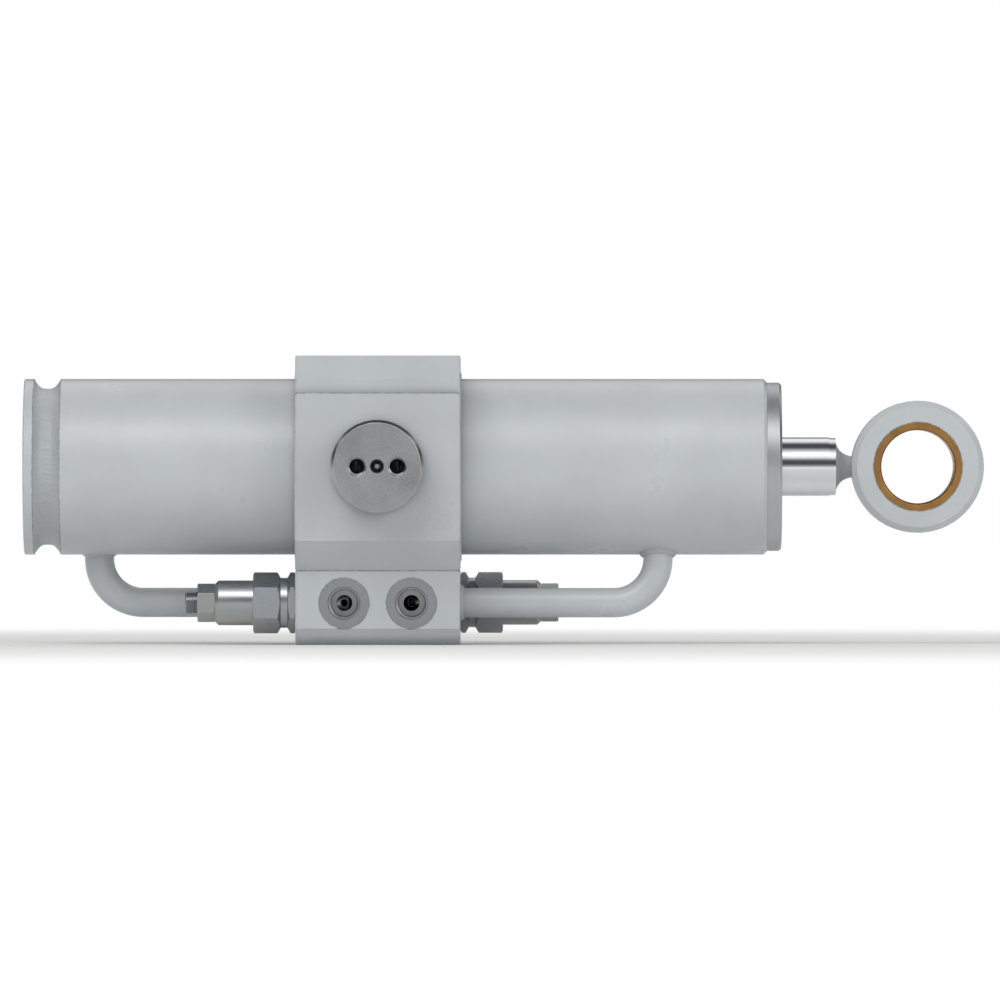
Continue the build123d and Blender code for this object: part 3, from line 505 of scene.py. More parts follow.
def keep_piece(
    mesh: BMesh, name: str, finish: Finish, body: str, stands_for: Sequence[str] = (),
    sharp: float = PLAIN_SHARP
) -> None:
    """Turn a mesh in millimetres into a finished piece that rides on a body.

    Args:
        mesh: The mesh, in the frame's axes. It is freed here.
        name: The piece's name.
        finish: The finish that it gets.
        body: The body that carries it.
        stands_for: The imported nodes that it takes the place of.
        sharp: The angle in degrees past which an edge stays crisp.
    """
    bmesh.ops.remove_doubles(mesh, verts=mesh.verts, dist=JOIN)
    bmesh.ops.recalc_face_normals(mesh, faces=mesh.faces)
    bmesh.ops.scale(mesh, vec=(MM, MM, MM), verts=mesh.verts)
    for face in mesh.faces:
        face.smooth = True
    for edge in mesh.edges:
        edge.smooth = len(edge.link_faces) == 2 and edge.calc_face_angle() < math.radians(sharp)
    open_edges = sum(1 for edge in mesh.edges if not edge.is_manifold)
    piece = add_mesh(mesh, name, finish.material())
    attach(piece, body)
    if stands_for:
        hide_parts(*stands_for)
    LOG.info("made %s: %d faces, %d open edges", name, len(piece.data.polygons), open_edges)


def arc(start: Point, end: Point, hollow: float, count: int) -> list[tuple[Point, Point]]:
    """Divide a circular arc evenly, with the direction away from the solid at each point.

    Args:
        start: The arc's first point, as (along, radius).
        end: Its last point. The solid is on the right of the way from start to end.
        hollow: How far its middle sinks below the straight line. A crown is negative.
        count: How many points it gets.

    Returns:
        A (point, outward direction) pair for each of them.
    """
    first, last = Vector(start), Vector(end)
    chord = last - first
    outward = Vector((-chord.y, chord.x)).normalized()
    bend = abs(hollow)
    circle_r = (chord.length ** 2 / 4 + bend ** 2) / (2 * bend)
    way = 1.0 if hollow > 0 else -1.0
    middle = (first + last) / 2 - outward * hollow
    centre = middle + outward * circle_r * way
    half = math.asin(min(1.0, chord.length / 2 / circle_r))
    if bend > chord.length / 2:
        half = math.pi - half
    points = []
    for i in range(count):
        angle = half * (2 * i / (count - 1) - 1)
        spoke = (middle - centre).normalized()
        turned = Matrix.Rotation(angle * way, 2) @ spoke
        points.append((tuple(centre + turned * circle_r), tuple(-turned * way)))
    return points


def spin_chain(
    mesh: BMesh, chain: list[BMVert], axis: Axis, steps: int, angle: float = FULL_TURN, climb: float = 0.0,
    closed: bool = False
) -> None:
    """Join vertices into a chain and spin it round one of the frame's axes.

    Args:
        mesh: The mesh that holds the vertices.
        chain: The vertices, in order.
        axis: The axis.
        steps: How many steps the spin takes.
        angle: How far round it goes.
        climb: How far each step moves along the axis.
        closed: Whether the last vertex joins the first.
    """
    edges = [mesh.edges.new(pair) for pair in zip(chain, chain[1:] + chain[:1] if closed else chain[1:])]
    bmesh.ops.spin(mesh, geom=chain + edges, cent=(0, 0, 0), axis=axis.value, dvec=Vector(axis.value) * climb,
                   angle=angle, steps=steps, use_merge=angle == FULL_TURN and not climb)


def copy_all(mesh: BMesh) -> list[BMVert]:
    """Double everything in a mesh, and hand out the copy's vertices."""
    copy = bmesh.ops.duplicate(mesh, geom=mesh.verts[:] + mesh.edges[:] + mesh.faces[:])["geom"]
    return [g for g in copy if isinstance(g, BMVert)]


def grow_rim(mesh: BMesh, rim: Sequence[BMEdge]) -> tuple[list[BMVert], list[BMEdge]]:
    """Extrude a rim in its place, ready to be moved.

    Args:
        mesh: The mesh that holds the rim.
        rim: The rim's edges.

    Returns:
        The new rim's vertices, and its edges.
    """
    grown = bmesh.ops.extrude_edge_only(mesh, edges=rim)["geom"]
    ring = [g for g in grown if isinstance(g, BMVert)]
    return ring, [g for g in grown if isinstance(g, BMEdge) and all(v in ring for v in g.verts)]


def merge_in(target: BMesh, source: BMesh, place: Matrix) -> None:
    """Add one mesh to another, moved to its place, and free it.

    Args:
        target: The mesh that grows.
        source: The mesh that is added and freed.
        place: Where it goes.
    """
    bmesh.ops.transform(source, matrix=place, verts=source.verts)
    if place.determinant() < 0:
        bmesh.ops.reverse_faces(source, faces=source.faces)
    store = bpy.data.meshes.new("store")
    source.to_mesh(store)
    source.free()
    target.from_mesh(store)
    bpy.data.meshes.remove(store)


# Two numbers that have nothing in common with a bead's counts, so that sines of them scatter its ripples.
LANE_SCATTER, RIPPLE_SCATTER = 12.9898, 78.233


@dataclass
class WeldBead:
    """A ring weld: the arc of its face, the passes laid side by side in it, and the ripples of each pass."""

    start: Point
    end: Point
    hollow: float
    root: Sequence[Point]
    passes: int = 1
    lobe_height: float = 0.5
    ripple_pitch: float = 3.2
    ripple_height: float = 0.3
    steps_each: int = 8
    points_each: int = 9
    # How far a ripple lags at its pass's edges, how lopsided and how uneven it is, how much of it is left at those
    # edges, and how steeply it rises from the bead's own.
    lag: float = 0.55
    skew: float = 0.8
    uneven: float = 0.3
    edge_ripple: float = 0.45
    toe_rise: float = 8.0

    def build(self, seed: int = 1) -> BMesh:
        """Spin the section round X, then raise its passes and ripples.

        Args:
            seed: Shifts the ripples, so that no two beads look alike.

        Returns:
            The bead round the X axis, in millimetres.
        """
        mesh = bmesh.new()
        across = mesh.verts.layers.float.new("across")
        lift_x = mesh.verts.layers.float.new("lift_x")
        lift_r = mesh.verts.layers.float.new("lift_r")
        chain = []
        count = self.passes * self.points_each + 1
        for i, (point, outward) in enumerate(arc(self.start, self.end, self.hollow, count)):
            vert = mesh.verts.new((point[0], 0.0, point[1]))
            vert[across] = i / (count - 1)
            vert[lift_x], vert[lift_r] = outward
            chain.append(vert)
        for point in self.root:
            vert = mesh.verts.new((point[0], 0.0, point[1]))
            vert[across] = -1.0
            chain.append(vert)
        radius = (self.start[1] + self.end[1]) / 2
        ripples = round(FULL_TURN * radius / self.ripple_pitch)
        # A long spin is slow, so an eighth is spun and then doubled three times.
        spin_chain(mesh, chain, Axis.X, ripples * self.steps_each // 8, math.pi / 4, closed=True)
        for turn in (math.pi / 4, math.pi / 2, math.pi):
            bmesh.ops.rotate(mesh, cent=(0, 0, 0), matrix=Matrix.Rotation(turn, 3, "X"), verts=copy_all(mesh))
        for vert in mesh.verts:
            if vert[across] < 0:
                continue
            angle = math.atan2(vert.co.y, vert.co.z)
            height = self.height(vert[across], angle, ripples, seed)
            spoke = Vector((0.0, vert.co.y, vert.co.z)).normalized()
            vert.co += (Vector((1, 0, 0)) * vert[lift_x] + spoke * vert[lift_r]) * height
        return mesh

    def height(self, across: float, angle: float, ripples: int, seed: int) -> float:
        """Give how far the face stands proud at one point.

        Args:
            across: How far over the face, from 0 to 1.
            angle: The angle round the bead's axis.
            ripples: How many ripples each pass has.
            seed: The bead's own shift.

        Returns:
            The height in millimetres.
        """
        lane = min(self.passes - 1, int(across * self.passes))
        over = across * self.passes - lane
        edge = (2 * over - 1) ** 2
        crown = 1 - edge
        shift = math.sin(LANE_SCATTER * (lane + seed)) / 2
        phase = angle / FULL_TURN * ripples + shift + self.lag * edge
        number = math.floor(phase)
        vary = 1 - self.uneven + self.uneven * math.sin(RIPPLE_SCATTER * (number % ripples) + lane)
        scallop = (1 - (2 * (phase - number) ** self.skew - 1) ** 2) * vary
        share = self.edge_ripple + (1 - self.edge_ripple) * crown
        toe = min(1.0, self.toe_rise * min(across, 1 - across))
        return self.lobe_height * crown + self.ripple_height * scallop * share * toe


# One pitch of a thread's outline: whether each point is high, and its share of the pitch.
THREAD_OUTLINE = ((False, 0.0), (False, 0.1), (True, 0.44), (True, 0.56), (False, 0.9), (False, 1.0))


@dataclass
class Thread:
    """A 60-degree thread along Z from zero, made by turning one pitch of its outline as it moves along."""

    low_r: float
    high_r: float
    pitch: float
    length: float
    mouth_r: float
    steps: int = 48
    lead_in: float = 1.5

    def surface(self) -> BMesh:
        """Spin one turn, repeat it, trim the thread square and run it out into a cone at both ends.

        Returns:
            The thread's open surface.
        """
        mesh = bmesh.new()
        chain = [mesh.verts.new((self.high_r if high else self.low_r, 0.0, (share - self.lead_in) * self.pitch))
                 for high, share in THREAD_OUTLINE]
        spin_chain(mesh, chain, Axis.Z, self.steps, climb=self.pitch / self.steps)
        turns = 1
        while turns < self.length / self.pitch + 2 * self.lead_in:
            bmesh.ops.translate(mesh, vec=(0, 0, turns * self.pitch), verts=copy_all(mesh))
            turns *= 2
        bmesh.ops.remove_doubles(mesh, verts=mesh.verts, dist=JOIN)
        for level, way in ((0.0, -1), (self.length, 1)):
            bmesh.ops.bisect_plane(mesh, geom=mesh.verts[:] + mesh.edges[:] + mesh.faces[:], dist=JOIN / 10,
                                   plane_co=(0, 0, level), plane_no=(0, 0, way), clear_outer=True)
        inside = self.mouth_r > self.high_r
        for vert in mesh.verts:
            radius = math.hypot(vert.co.x, vert.co.y)
            depth = min(vert.co.z, self.length - vert.co.z)
            cone = self.mouth_r - depth if inside else self.mouth_r + depth
            wanted = max(radius, cone) if inside else min(radius, cone)
            vert.co.x *= wanted / radius
            vert.co.y *= wanted / radius
        return mesh

    def rim(self, mesh: BMesh, level: float) -> list[BMEdge]:
        """Find the open edges at one end of a thread."""
        return [e for e in mesh.edges if len(e.link_faces) == 1 and all(abs(v.co.z - level) < JOIN for v in e.verts)]

    def sleeve(self, wall_r: float) -> BMesh:
        """Back an inside thread with a plain wall, which closes it.

        Args:
            wall_r: The wall's radius, outside the thread's roots.

        Returns:
            A closed threaded sleeve.
        """
        mesh = self.surface()
        ring, rim = grow_rim(mesh, self.rim(mesh, 0.0))
        growth = wall_r / self.mouth_r
        bmesh.ops.scale(mesh, vec=(growth, growth, 1.0), verts=ring)
        ring, rim = grow_rim(mesh, rim)
        bmesh.ops.translate(mesh, vec=(0, 0, self.length), verts=ring)
        thread_rim = [e for e in self.rim(mesh, self.length) if e not in rim]
        # The two rims are flat but have unequal counts of points, which a bridge joins differently on each run.
        bmesh.ops.triangle_fill(mesh, use_beauty=True, edges=rim + thread_rim)
        return mesh


@dataclass
class BarrelAssembly:
    """The painted tube, its closed end and the ring weld in the groove between them."""

    barrel_r: float = 60.0
    groove_x: float = -225.75
    groove_half: float = 8.97
    groove_depth: float = 7.3
    root_depth: float = 9.1
    root_points: int = 9
    proud: float = 0.02

    def build(self) -> None:
        """Dress the tube and cap, and lay the three passes of the base weld."""
        dress(ENAMEL, "barrel_tube", "base_cap")
        left = (self.groove_x - self.groove_half, self.barrel_r + self.proud)
        right = (self.groove_x + self.groove_half, self.barrel_r + self.proud)
        root = [point for point, _ in arc(right, left, -self.root_depth, self.root_points)][1:-1]
        weld = WeldBead(left, right, self.groove_depth, root, passes=3, lobe_height=0.12, ripple_pitch=3.8,
                        ripple_height=0.42)
        keep_piece(weld.build(), "base_weld_bead", WELD_ENAMEL, "housing", ["base_weld"])


@dataclass
class TrunnionAssembly:
    """The block round the barrel, the ring welds at its ends and the two trunnion pins."""

    barrel_r: float = 60.0
    block_half: float = 56.1
    weld_lift: float = 0.05
    weld_leg: float = 4.95
    weld_crown: float = 0.35
    pin_r: float = 31.5
    pin_chamfer: float = 2.0
    spigot_r: float = 20.0
    spigot_length: float = 16.0
    spigot_chamfer: float = 0.8
    seat_y: float = 80.0
    end_y: float = 130.0
    hole_x: float = 13.65
    hole_mouth_r: float = 6.7
    hole_r: float = 6.15
    hole_chamfer: float = 0.55
    hole_depth: float = 24.0
    drill_tip_r: float = 0.1
    drill_slope: float = 0.6
    centre_mouth_r: float = 5.0
    centre_tip_r: float = 1.6
    centre_depth: float = 5.9
    pilot_depth: float = 4.5
    thread_start: float = 0.5
    thread_bite: float = 0.15
    spin_steps: int = 144
    mouth_points: int = 64
    thread: Thread = field(default_factory=lambda: Thread(5.1, 6.0, 1.75, 21.0, 6.1))

    def build(self) -> None:
        """Dress the block, lay its ring welds and make both pins."""
        dress(ENAMEL, "trunnion_block")
        welds = bmesh.new()
        inner = self.barrel_r + self.weld_lift
        for side, seed in ((-1, 3), (1, 5)):
            # The section is made for the right end; the left one is its mirror.
            bead = WeldBead((self.block_half, inner + self.weld_leg), (self.block_half, inner), -self.weld_crown,
                            [(self.block_half - self.weld_leg, inner)], lobe_height=0.25, ripple_pitch=3.0)
            merge_in(welds, bead.build(seed), Matrix.Diagonal((side, 1, 1, 1)))
        keep_piece(welds, "block_ring_welds", WELD_ENAMEL, "housing", ["block_welds"])
        for name, turn in (("trunnion_pin_back", -90), ("trunnion_pin_front", 90)):
            pin = bmesh.new()
            merge_in(pin, self.pin(), Matrix.Rotation(math.radians(turn), 4, "X"))
            keep_piece(pin, f"{name}_threaded", PIN_STEEL, "housing", [name])

    def pin(self) -> BMesh:
        """Turn a pin along Z, then open its two tapped holes and its centre hole.

        Returns:
            The pin, in millimetres.
        """
        mesh = bmesh.new()
        low = self.seat_y - self.spigot_length
        outline = [(0.0, low), (self.spigot_r - self.spigot_chamfer, low), (self.spigot_r, low + self.spigot_chamfer),
                   (self.spigot_r, self.seat_y), (self.pin_r, self.seat_y),
                   (self.pin_r, self.end_y - self.pin_chamfer), (self.pin_r - self.pin_chamfer, self.end_y)]
        spin_chain(mesh, [mesh.verts.new((r, 0.0, z)) for r, z in outline], Axis.Z, self.spin_steps)
        bmesh.ops.remove_doubles(mesh, verts=mesh.verts, dist=JOIN)
        tapped = ((self.hole_chamfer, self.hole_r), (self.hole_depth - self.hole_chamfer, self.hole_r),
                  (self.drill_slope * self.hole_r, self.drill_tip_r))
        centre = ((self.centre_depth, self.centre_tip_r), (self.pilot_depth, self.centre_tip_r))
        mouths = []
        for x, radius, steps in ((-self.hole_x, self.hole_mouth_r, tapped), (0.0, self.centre_mouth_r, centre),
                                 (self.hole_x, self.hole_mouth_r, tapped)):
            ring = bmesh.ops.create_circle(mesh, radius=radius, segments=self.mouth_points)["verts"]
            bmesh.ops.translate(mesh, vec=(x, 0, self.end_y), verts=ring)
            mouths.append((x, radius, steps, [e for e in mesh.edges if all(v in ring for v in e.verts)]))
        bmesh.ops.triangle_fill(mesh, use_beauty=True, edges=[e for e in mesh.edges if not e.is_manifold])
        for x, radius, steps, mouth in mouths:
            self.sink(mesh, mouth, x, steps, radius)
        for x in (-self.hole_x, self.hole_x):
            # The sleeve starts at the hole's mouth and runs inwards, which is down Z here.
            down = Matrix.Translation((x, 0, self.end_y - self.thread_start)) @ Matrix.Rotation(math.pi, 4, "X")
            merge_in(mesh, self.thread.sleeve(self.hole_r + self.thread_bite), down)
        return mesh

    def sink(self, mesh: BMesh, rim: list[BMEdge], x: float, steps: Sequence[Point], radius: float) -> None:
        """Extrude a hole's rim downwards in steps, then close its bottom.

        Args:
            mesh: The pin.
            rim: The edges of the hole's mouth.
            x: The hole's place across the pin.
            steps: A (depth, radius) pair for each extrusion.
            radius: The mouth's radius.
        """
        for depth, wanted in steps:
            ring, rim = grow_rim(mesh, rim)
            growth = wanted / radius
            bmesh.ops.scale(mesh, vec=(growth, growth, 1.0), verts=ring, space=Matrix.Translation((-x, 0, 0)))
            bmesh.ops.translate(mesh, vec=(0, 0, -depth), verts=ring)
            radius = wanted
        bmesh.ops.contextual_create(mesh, geom=rim)


@dataclass
class ManifoldAssembly:
    """The ported block under the trunnions, its cap screws and the threads in its two ports."""

    port_x: float = 22.9
    port_z: float = -92.8
    mouth_y: float = -59.1
    thread: Thread = field(default_factory=lambda: Thread(9.32, 10.48, 1.814, 14.2, 10.6))
    wall_r: float = 11.2

    def build(self) -> None:
        """Dress the block and its screws, and cut the two port threads."""
        dress(MANIFOLD_ENAMEL, "manifold_block")
        dress(BLACK_OXIDE, "manifold_screws")
        for name, side in (("port_thread_left", -1), ("port_thread_right", 1)):
            mesh = bmesh.new()
            x = side * self.port_x
            inwards = Matrix.Translation((x, self.mouth_y, self.port_z)) @ Matrix.Rotation(-math.pi / 2, 4, "X")
            merge_in(mesh, self.thread.sleeve(self.wall_r), inwards)
            # Freshly cut steel, oiled: darker than ground steel and than the bare spotface steel, partly as painted
            # shade inside the port, with the tool's marks round the port.
            steel = TurnedMetal(f"cut_thread_steel_{name}", "#8D8F92", "#6E6D6A", 0.3, axis=Axis.Y,
                                centre=(x, 0.0, self.port_z), ring_spacing=0.5)
            keep_piece(mesh, name, steel, "housing", sharp=THREAD_SHARP)


@dataclass
class PipeAssembly:
    """The two bent pipes, with a fillet bead where each meets the barrel and the manifold."""

    barrel_r: float = 60.0
    block_half: float = 56.1
    pipe_r: float = 10.03
    bead: float = 2.6
    bead_crown: float = 0.25
    bead_bite: float = 0.4
    port_z: float = -92.8
    base_y: float = 23.0
    rod_y: float = -10.0
    base_x: float = -190.7
    rod_x: float = 190.9

    def build(self) -> None:
        """Dress the pipes and lay their four beads."""
        dress(ENAMEL, "pipe_base_side", "pipe_rod_side")
        beads = bmesh.new()
        for side, y, seed in ((-1, self.base_y, 2), (1, self.rod_y, 7)):
            place = Matrix.Translation((side * self.block_half, y, self.port_z)) @ Matrix.Diagonal((side, 1, 1, 1))
            merge_in(beads, self.fillet().build(seed), place)
        swing = Matrix.Rotation(math.atan2(self.base_y, -self.port_z), 4, "X")
        merge_in(beads, self.saddle(self.base_x, 0.0, 4), swing)
        merge_in(beads, self.saddle(self.rod_x, self.rod_y, 9), Matrix.Identity(4))
        keep_piece(beads, "pipe_fillet_beads", WELD_ENAMEL, "housing", ["pipe_welds"])

    def fillet(self) -> WeldBead:
        """Give a fillet bead that climbs from a face at X zero to the pipe."""
        return WeldBead((0.0, self.pipe_r + self.bead), (self.bead, self.pipe_r), -self.bead_crown,
                        [(-self.bead_bite, self.pipe_r)], lobe_height=0.15, ripple_pitch=2.1, ripple_height=0.24)

    def saddle(self, x: float, y: float, seed: int) -> BMesh:
        """Lay a fillet bead round a pipe's leg and drop it onto the barrel's curve.

        Args:
            x: The leg's place along the barrel.
            y: How far the leg stands off the barrel's axis.
            seed: The bead's own shift.

        Returns:
            The bead, straight below the barrel.
        """
        mesh = self.fillet().build(seed)
        stand = Matrix.Translation((x, y, -self.barrel_r)) @ Matrix.Rotation(math.pi / 2, 4, "Y")
        bmesh.ops.transform(mesh, matrix=stand, verts=mesh.verts)
        for vert in mesh.verts:
            vert.co.z += self.barrel_r - math.sqrt(self.barrel_r ** 2 - vert.co.y ** 2)
        return mesh


@dataclass
class Cartridge:
    """One counterbalance cartridge: its plated outside, its threaded adjuster and the parts within."""

    side: Side
    block_half: float = 56.1
    valve_y: float = 23.0
    port_z: float = -92.8
    screw_start: float = 30.0
    screw_end: float = 75.3
    socket_flats: float = 8.0
    socket_depth: float = 5.0
    thread: Thread = field(default_factory=lambda: Thread(6.75, 7.6, 1.5, 22.0, 6.5))

    def build(self) -> None:
        """Dress the cartridge's nodes and make its adjusting screw."""
        word = self.side.name.lower()
        dress(ZINC, f"cartridge_body_{word}", f"adjuster_sleeve_{word}", f"locknut_{word}")
        dress(VALVE_STEEL, f"spring_plate_{word}", f"valve_poppet_{word}")
        dress(SPRING_STEEL, f"valve_spring_{word}")
        dress(NITRILE, f"cartridge_seals_{word}")
        way = self.side.value
        place = Matrix.Translation((way * self.block_half, way * self.valve_y, self.port_z))
        if self.side is Side.LEFT:
            place = place @ Matrix.Rotation(math.pi, 4, "Z")
        screw = bmesh.new()
        # The screw is made along Z and lies along X, pointing away from the block.
        merge_in(screw, self.adjusting_screw(), place @ Matrix.Rotation(math.pi / 2, 4, "Y"))
        keep_piece(screw, f"adjusting_screw_threaded_{word}", THREAD_ZINC, f"adjusting_screw_{word}",
                   [f"adjusting_screw_{word}"], sharp=THREAD_SHARP)

    def adjusting_screw(self) -> BMesh:
        """Thread the outer length, sink a hexagon socket in its end and close the inner end.

        Returns:
            The screw along Z, in millimetres.
        """
        mesh = self.thread.surface()
        length = self.thread.length
        hexagon = bmesh.ops.create_circle(mesh, radius=self.socket_flats / math.sqrt(3), segments=6)["verts"]
        bmesh.ops.translate(mesh, vec=(0, 0, length), verts=hexagon)
        socket = [e for e in mesh.edges if all(v in hexagon for v in e.verts)]
        bmesh.ops.triangle_fill(mesh, use_beauty=True, edges=self.thread.rim(mesh, length) + socket)
        inner = self.screw_end - self.screw_start - length
        for rim, depth in ((socket, self.socket_depth), (self.thread.rim(mesh, 0.0), inner)):
            ring, rim = grow_rim(mesh, rim)
            bmesh.ops.translate(mesh, vec=(0, 0, -depth), verts=ring)
            bmesh.ops.contextual_create(mesh, geom=rim)
        bmesh.ops.translate(mesh, vec=(0, 0, self.screw_end - length), verts=mesh.verts)
        return mesh


@dataclass
class GlandAssembly:
    """The screwed gland with every ring, band and seal that it carries."""

    def build(self) -> None:
        """Dress the gland and its seals."""
        dress(ANODISED, "gland")
        dress(NITRILE, "gland_o_ring", "gland_mouth_ring")
        dress(PTFE, "gland_backup_ring", "rod_guide_band")
        dress(POLYURETHANE, "rod_seal", "rod_wiper")
        dress(NYLON, "rod_seal_backup", "gland_lock_plug")


@dataclass
class RodAssembly:
    """The chromed rod with its piston at one end, and the welded eye with its bush at the other."""

    rod_end_x: float = 312.2
    neck_r: float = 7.4
    neck_fillet: float = 10.7
    root_reach: float = 1.2
    root_r: float = 5.06
    eye_x: float = EYE_X
    bush_inner_r: float = 25.0
    bush_outer_r: float = 30.0
    bush_half: float = 25.0
    bush_chamfer: float = 1.0
    bore_steps: int = 60
    bore_slack: float = 0.01
    spin_steps: int = 240
    groove_reach: float = 15.0
    groove_half: float = 1.9
    groove_depth: float = 0.9

    def build(self) -> None:
        """Dress the rod, piston and eye, lay the neck weld and make the bush."""
        dress(ROD_CHROME, "piston_rod")
        dress(ANODISED, "piston")
        dress(BLACK_OXIDE, "piston_nut")
        dress(NYLON, "piston_side_rings", "piston_static_backup")
        dress(PTFE, "piston_glide_ring", "piston_wear_band")
        dress(NITRILE, "piston_energiser", "piston_static_o_ring")
        dress(ENAMEL, "rod_eye")
        wide = (self.rod_end_x, self.neck_r + self.neck_fillet)
        narrow = (self.rod_end_x + self.neck_fillet, self.neck_r)
        sag = self.neck_fillet * (1 - math.sqrt(0.5))
        root_x = narrow[0] + self.root_reach
        root = [(root_x, self.neck_r), (root_x, self.root_r), (self.rod_end_x, self.root_r)]
        neck = WeldBead(wide, narrow, sag, root, lobe_height=0.0, ripple_pitch=2.4, points_each=20)
        keep_piece(neck.build(seed=11), "rod_end_weld_bead", WELD_ENAMEL, "rod", ["rod_end_weld"])
        keep_piece(self.bush(), "grooved_eye_bush", BUSH_BRONZE, "rod", ["eye_bush"])

    def bush(self) -> BMesh:
        """Turn the bush and press a figure-of-eight grease groove into its bore.

        Returns:
            The bush in its place, in millimetres.
        """
        mesh = bmesh.new()
        run = self.bush_half - self.bush_chamfer
        inside = [(self.bush_inner_r, run - 2 * run * i / self.bore_steps) for i in range(self.bore_steps + 1)]
        mouth = self.bush_inner_r + self.bush_chamfer
        outline = [(mouth, self.bush_half)] + inside + [
            (mouth, -self.bush_half), (self.bush_outer_r, -self.bush_half), (self.bush_outer_r, self.bush_half)]
        spin_chain(mesh, [mesh.verts.new((r, y, 0.0)) for r, y in outline], Axis.Y, self.spin_steps, closed=True)
        for vert in mesh.verts:
            radius = math.hypot(vert.co.x, vert.co.z)
            if radius > self.bush_inner_r + self.bore_slack:
                continue
            sine = math.sin(math.atan2(vert.co.z, vert.co.x)) * self.groove_reach
            off = min(abs(vert.co.y - sine), abs(vert.co.y + sine)) / self.groove_half
            if off < 1:
                growth = (radius + self.groove_depth * (1 - off ** 2)) / radius
                vert.co.x *= growth
                vert.co.z *= growth
        bmesh.ops.translate(mesh, vec=(self.eye_x, 0, 0), verts=mesh.verts)
        return mesh


@dataclass(frozen=True)
class Lamp:
    """A soft square lamp that points at the part. Sizes are metres and its power is watts."""

    name: str
    place: Place
    size: float
    power: float
    # Without gloss, a lamp can't burn the upper edges out.
    glossy: bool = True
    aim: Place = (0.08, 0.0, 0.0)

    def hang(self) -> None:
        """Hang the lamp in its place."""
        data = bpy.data.lights.new(self.name, "AREA")
        data.shape = "SQUARE"
        data.size = self.size
        data.energy = self.power
        lamp = add_object(self.name, data)
        lamp.location = self.place
        lamp.rotation_euler = (Vector(self.aim) - Vector(self.place)).to_track_quat("-Z", "Y").to_euler()
        lamp.visible_glossy = self.glossy


LAMPS = (
    Lamp("key", (-1.3, -2.6, 2.3), 3.0, 70.0),
    Lamp("fill", (2.4, -2.2, 1.1), 1.8, 26.0),
    Lamp("back", (0.6, 2.6, 2.0), 2.2, 22.0, glossy=False),
)
# Each card's name, its middle in metres and its turn in degrees.
CARDS = (
    ("front_card", (0.0, -3.2, 1.0), (90, 0, 0)),
    ("back_card", (0.0, 3.2, 1.0), (90, 0, 0)),
    ("left_card", (-3.2, 0.0, 1.0), (90, 0, 90)),
    ("right_card", (3.2, 0.0, 1.0), (90, 0, 90)),
    ("top_card", (0.0, 0.0, 2.6), (0, 0, 0)),
)


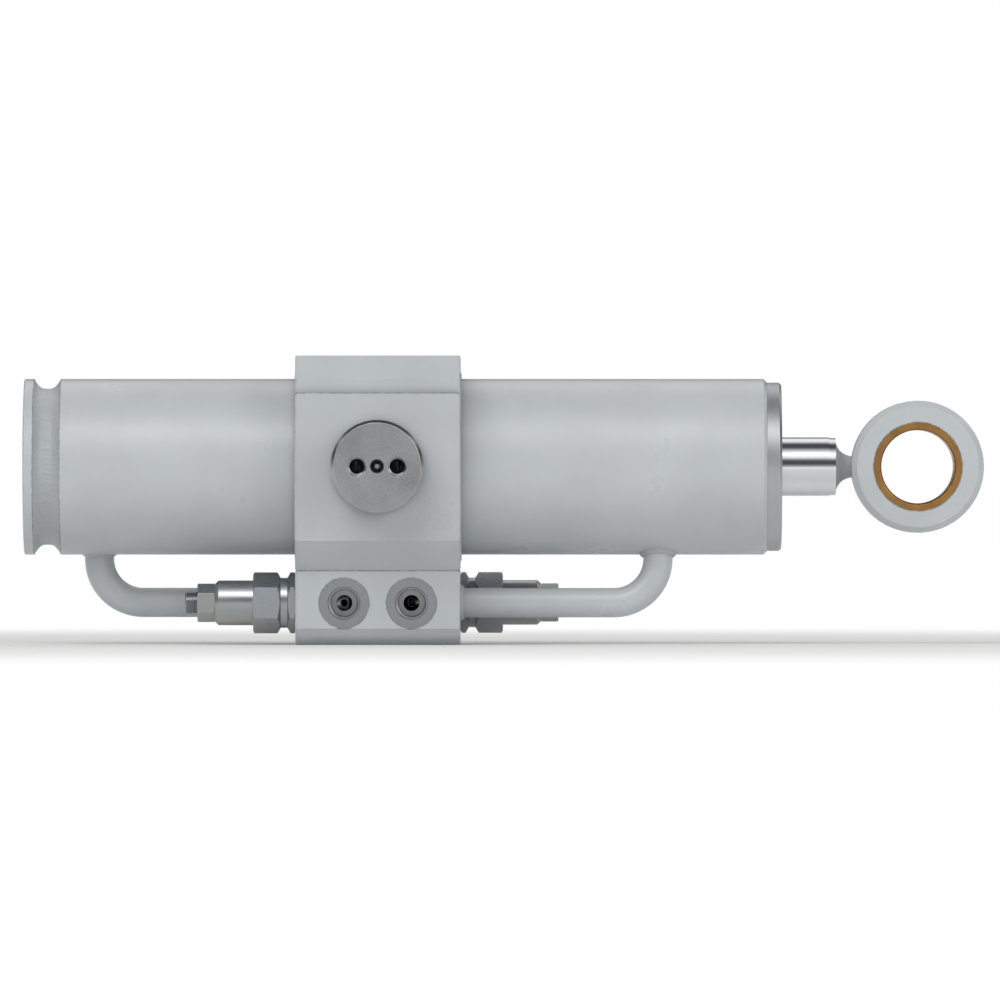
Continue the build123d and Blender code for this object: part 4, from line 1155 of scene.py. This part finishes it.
@dataclass
class Studio:
    """A pale floor, soft lamps and the drawing's own square-on view. Sizes are metres."""

    floor_z: float = -0.1212
    floor_half: float = 40.0
    floor_colour: str = "#F2F2F1"
    fade_start: float = 0.55
    fade_end: float = 1.6
    backdrop: str = "#FFFFFF"
    card_colour: str = "#4A4D51"
    card_width: float = 9.0
    card_height: float = 3.4
    # From where to where a card fades, from its middle at 0 to its edge at 0.5.
    card_fade: Point = (0.08, 0.5)
    sky_light: float = 0.38
    view_centre: Point = (0.0831, -0.0227)
    view_width: float = 0.683
    lens: float = 600.0
    sensor: float = 36.0

    def build(self) -> None:
        """Set up the camera, the world, the floor, the lamps and the dark cards."""
        self.camera()
        self.world()
        self.floor()
        for lamp in LAMPS:
            lamp.hang()
        felt = self.felt()
        for name, place, turn in CARDS:
            self.card(name, place, turn, felt)

    def camera(self) -> None:
        """Stand a long lens square to the drawing's plane."""
        data = bpy.data.cameras.new("drawing_view")
        data.lens = self.lens
        data.sensor_width = self.sensor
        data.clip_start = 0.1
        data.clip_end = 200.0
        camera = add_object("drawing_view", data)
        distance = self.view_width * self.lens / self.sensor
        camera.location = (self.view_centre[0], -distance, self.view_centre[1])
        camera.rotation_euler = (math.pi / 2, 0, 0)
        bpy.context.scene.camera = camera

    def seen(self, add: AddNode) -> Node:
        """Tell what the eye, gloss and glass see from what only lights the part.

        Args:
            add: Adds a node to the floor or the world.

        Returns:
            A value that is 1 where it is seen, and 0 where it only lights.
        """
        ray = add("LightPath").outputs
        bright = add("Math", {0: ray["Is Camera Ray"], 1: ray["Is Glossy Ray"]}, operation="MAXIMUM")
        return add("Math", {0: bright, 1: ray["Is Transmission Ray"]}, operation="MAXIMUM")

    def world(self) -> None:
        """Show a white backdrop to the eye and in gloss, and light the part with a softer sky."""
        world = bpy.data.worlds.new("studio")
        bpy.context.scene.world = world
        add = start_nodes(world)
        level = add("MapRange", {"Value": self.seen(add), 3: self.sky_light, 4: 1.0})
        sky = add("Background", {"Color": linear(self.backdrop), "Strength": level})
        add("OutputWorld", {"Surface": sky})

    def floor(self) -> None:
        """Lay a wide pale floor that keeps the shadow and runs out into the white backdrop."""
        mesh = bmesh.new()
        bmesh.ops.create_grid(mesh, x_segments=2, y_segments=2, size=self.floor_half)
        bmesh.ops.translate(mesh, vec=(0, 0, self.floor_z), verts=mesh.verts)
        material = bpy.data.materials.new("pale_floor")
        add = start_nodes(material)
        reach = add("VectorMath", {0: add("TexCoord").outputs["Object"]}, operation="LENGTH")
        far = add("MapRange", {"Value": reach, 1: self.fade_start, 2: self.fade_end}, interpolation_type="SMOOTHSTEP")
        fade = add("Math", {0: self.seen(add), 1: far}, operation="MULTIPLY")
        matt = add("BsdfDiffuse", {"Color": linear(self.floor_colour)})
        bright = add("Emission", {"Color": linear(self.backdrop), "Strength": 1.0})
        both = add("MixShader", {0: fade, 1: matt, 2: bright})
        add("OutputMaterial", {"Surface": both})
        self.stage_piece(mesh, "pale_floor", material)

    def felt(self) -> Material:
        """Make the cards' material: dark along the middle, and fading into the backdrop at the edges.

        Returns:
            The material.
        """
        material = bpy.data.materials.new("dark_card")
        add = start_nodes(material)
        split = add("SeparateXYZ", {0: add("UVMap", uv_map="across_card")})
        off = add("Math", {0: split.outputs["Y"], 1: 0.5}, operation="SUBTRACT")
        away = add("Math", {0: off}, operation="ABSOLUTE")
        start, end = self.card_fade
        fade = add("MapRange", {"Value": away, 1: start, 2: end}, interpolation_type="SMOOTHSTEP")
        tone = add("Mix", {"Factor": fade, "A": linear(self.card_colour), "B": linear(self.backdrop)},
                   data_type="RGBA")
        glow = add("Emission", {"Color": tone, "Strength": 1.0})
        add("OutputMaterial", {"Surface": glow})
        return material

    def card(self, name: str, place: Place, turn: Place, felt: Material) -> None:
        """Stand a dark card that only gloss sees, so that bright metal has something to reflect.

        Args:
            name: The card's name.
            place: Its middle.
            turn: Its rotation in degrees.
            felt: Its material.
        """
        mesh = bmesh.new()
        bmesh.ops.create_grid(mesh, x_segments=1, y_segments=1, size=0.5, calc_uvs=False)
        across = mesh.loops.layers.uv.new("across_card")
        for face in mesh.faces:
            for loop in face.loops:
                loop[across].uv = (loop.vert.co.x + 0.5, loop.vert.co.y + 0.5)
        bmesh.ops.scale(mesh, vec=(self.card_width, self.card_height, 1.0), verts=mesh.verts)
        for angle, axis in zip(turn, "XYZ"):
            swing = Matrix.Rotation(math.radians(angle), 3, axis)
            bmesh.ops.rotate(mesh, cent=(0, 0, 0), matrix=swing, verts=mesh.verts)
        bmesh.ops.translate(mesh, vec=place, verts=mesh.verts)
        card = self.stage_piece(mesh, name, felt)
        card.visible_camera = False
        card.visible_diffuse = False
        card.visible_shadow = False

    def stage_piece(self, mesh: BMesh, name: str, material: Material) -> Object:
        """Put a piece of the studio in the scene, outside the part.

        Args:
            mesh: The mesh, which is freed here.
            name: The piece's name.
            material: Its material.

        Returns:
            The new object.
        """
        piece = add_mesh(mesh, name, material)
        return piece


def main() -> None:
    """Build the studio, then the cylinder from its base to its rod eye."""
    logging.basicConfig(level=logging.INFO, format="%(name)s: %(message)s")
    bpy.context.scene.view_settings.view_transform = "Standard"
    steps: list[Callable[[], None]] = [
        Studio().build, BarrelAssembly().build, TrunnionAssembly().build, ManifoldAssembly().build,
        PipeAssembly().build, Cartridge(Side.LEFT).build, Cartridge(Side.RIGHT).build, GlandAssembly().build,
        RodAssembly().build,
    ]
    for step in steps:
        step()


if __name__ == "__main__":
    main()
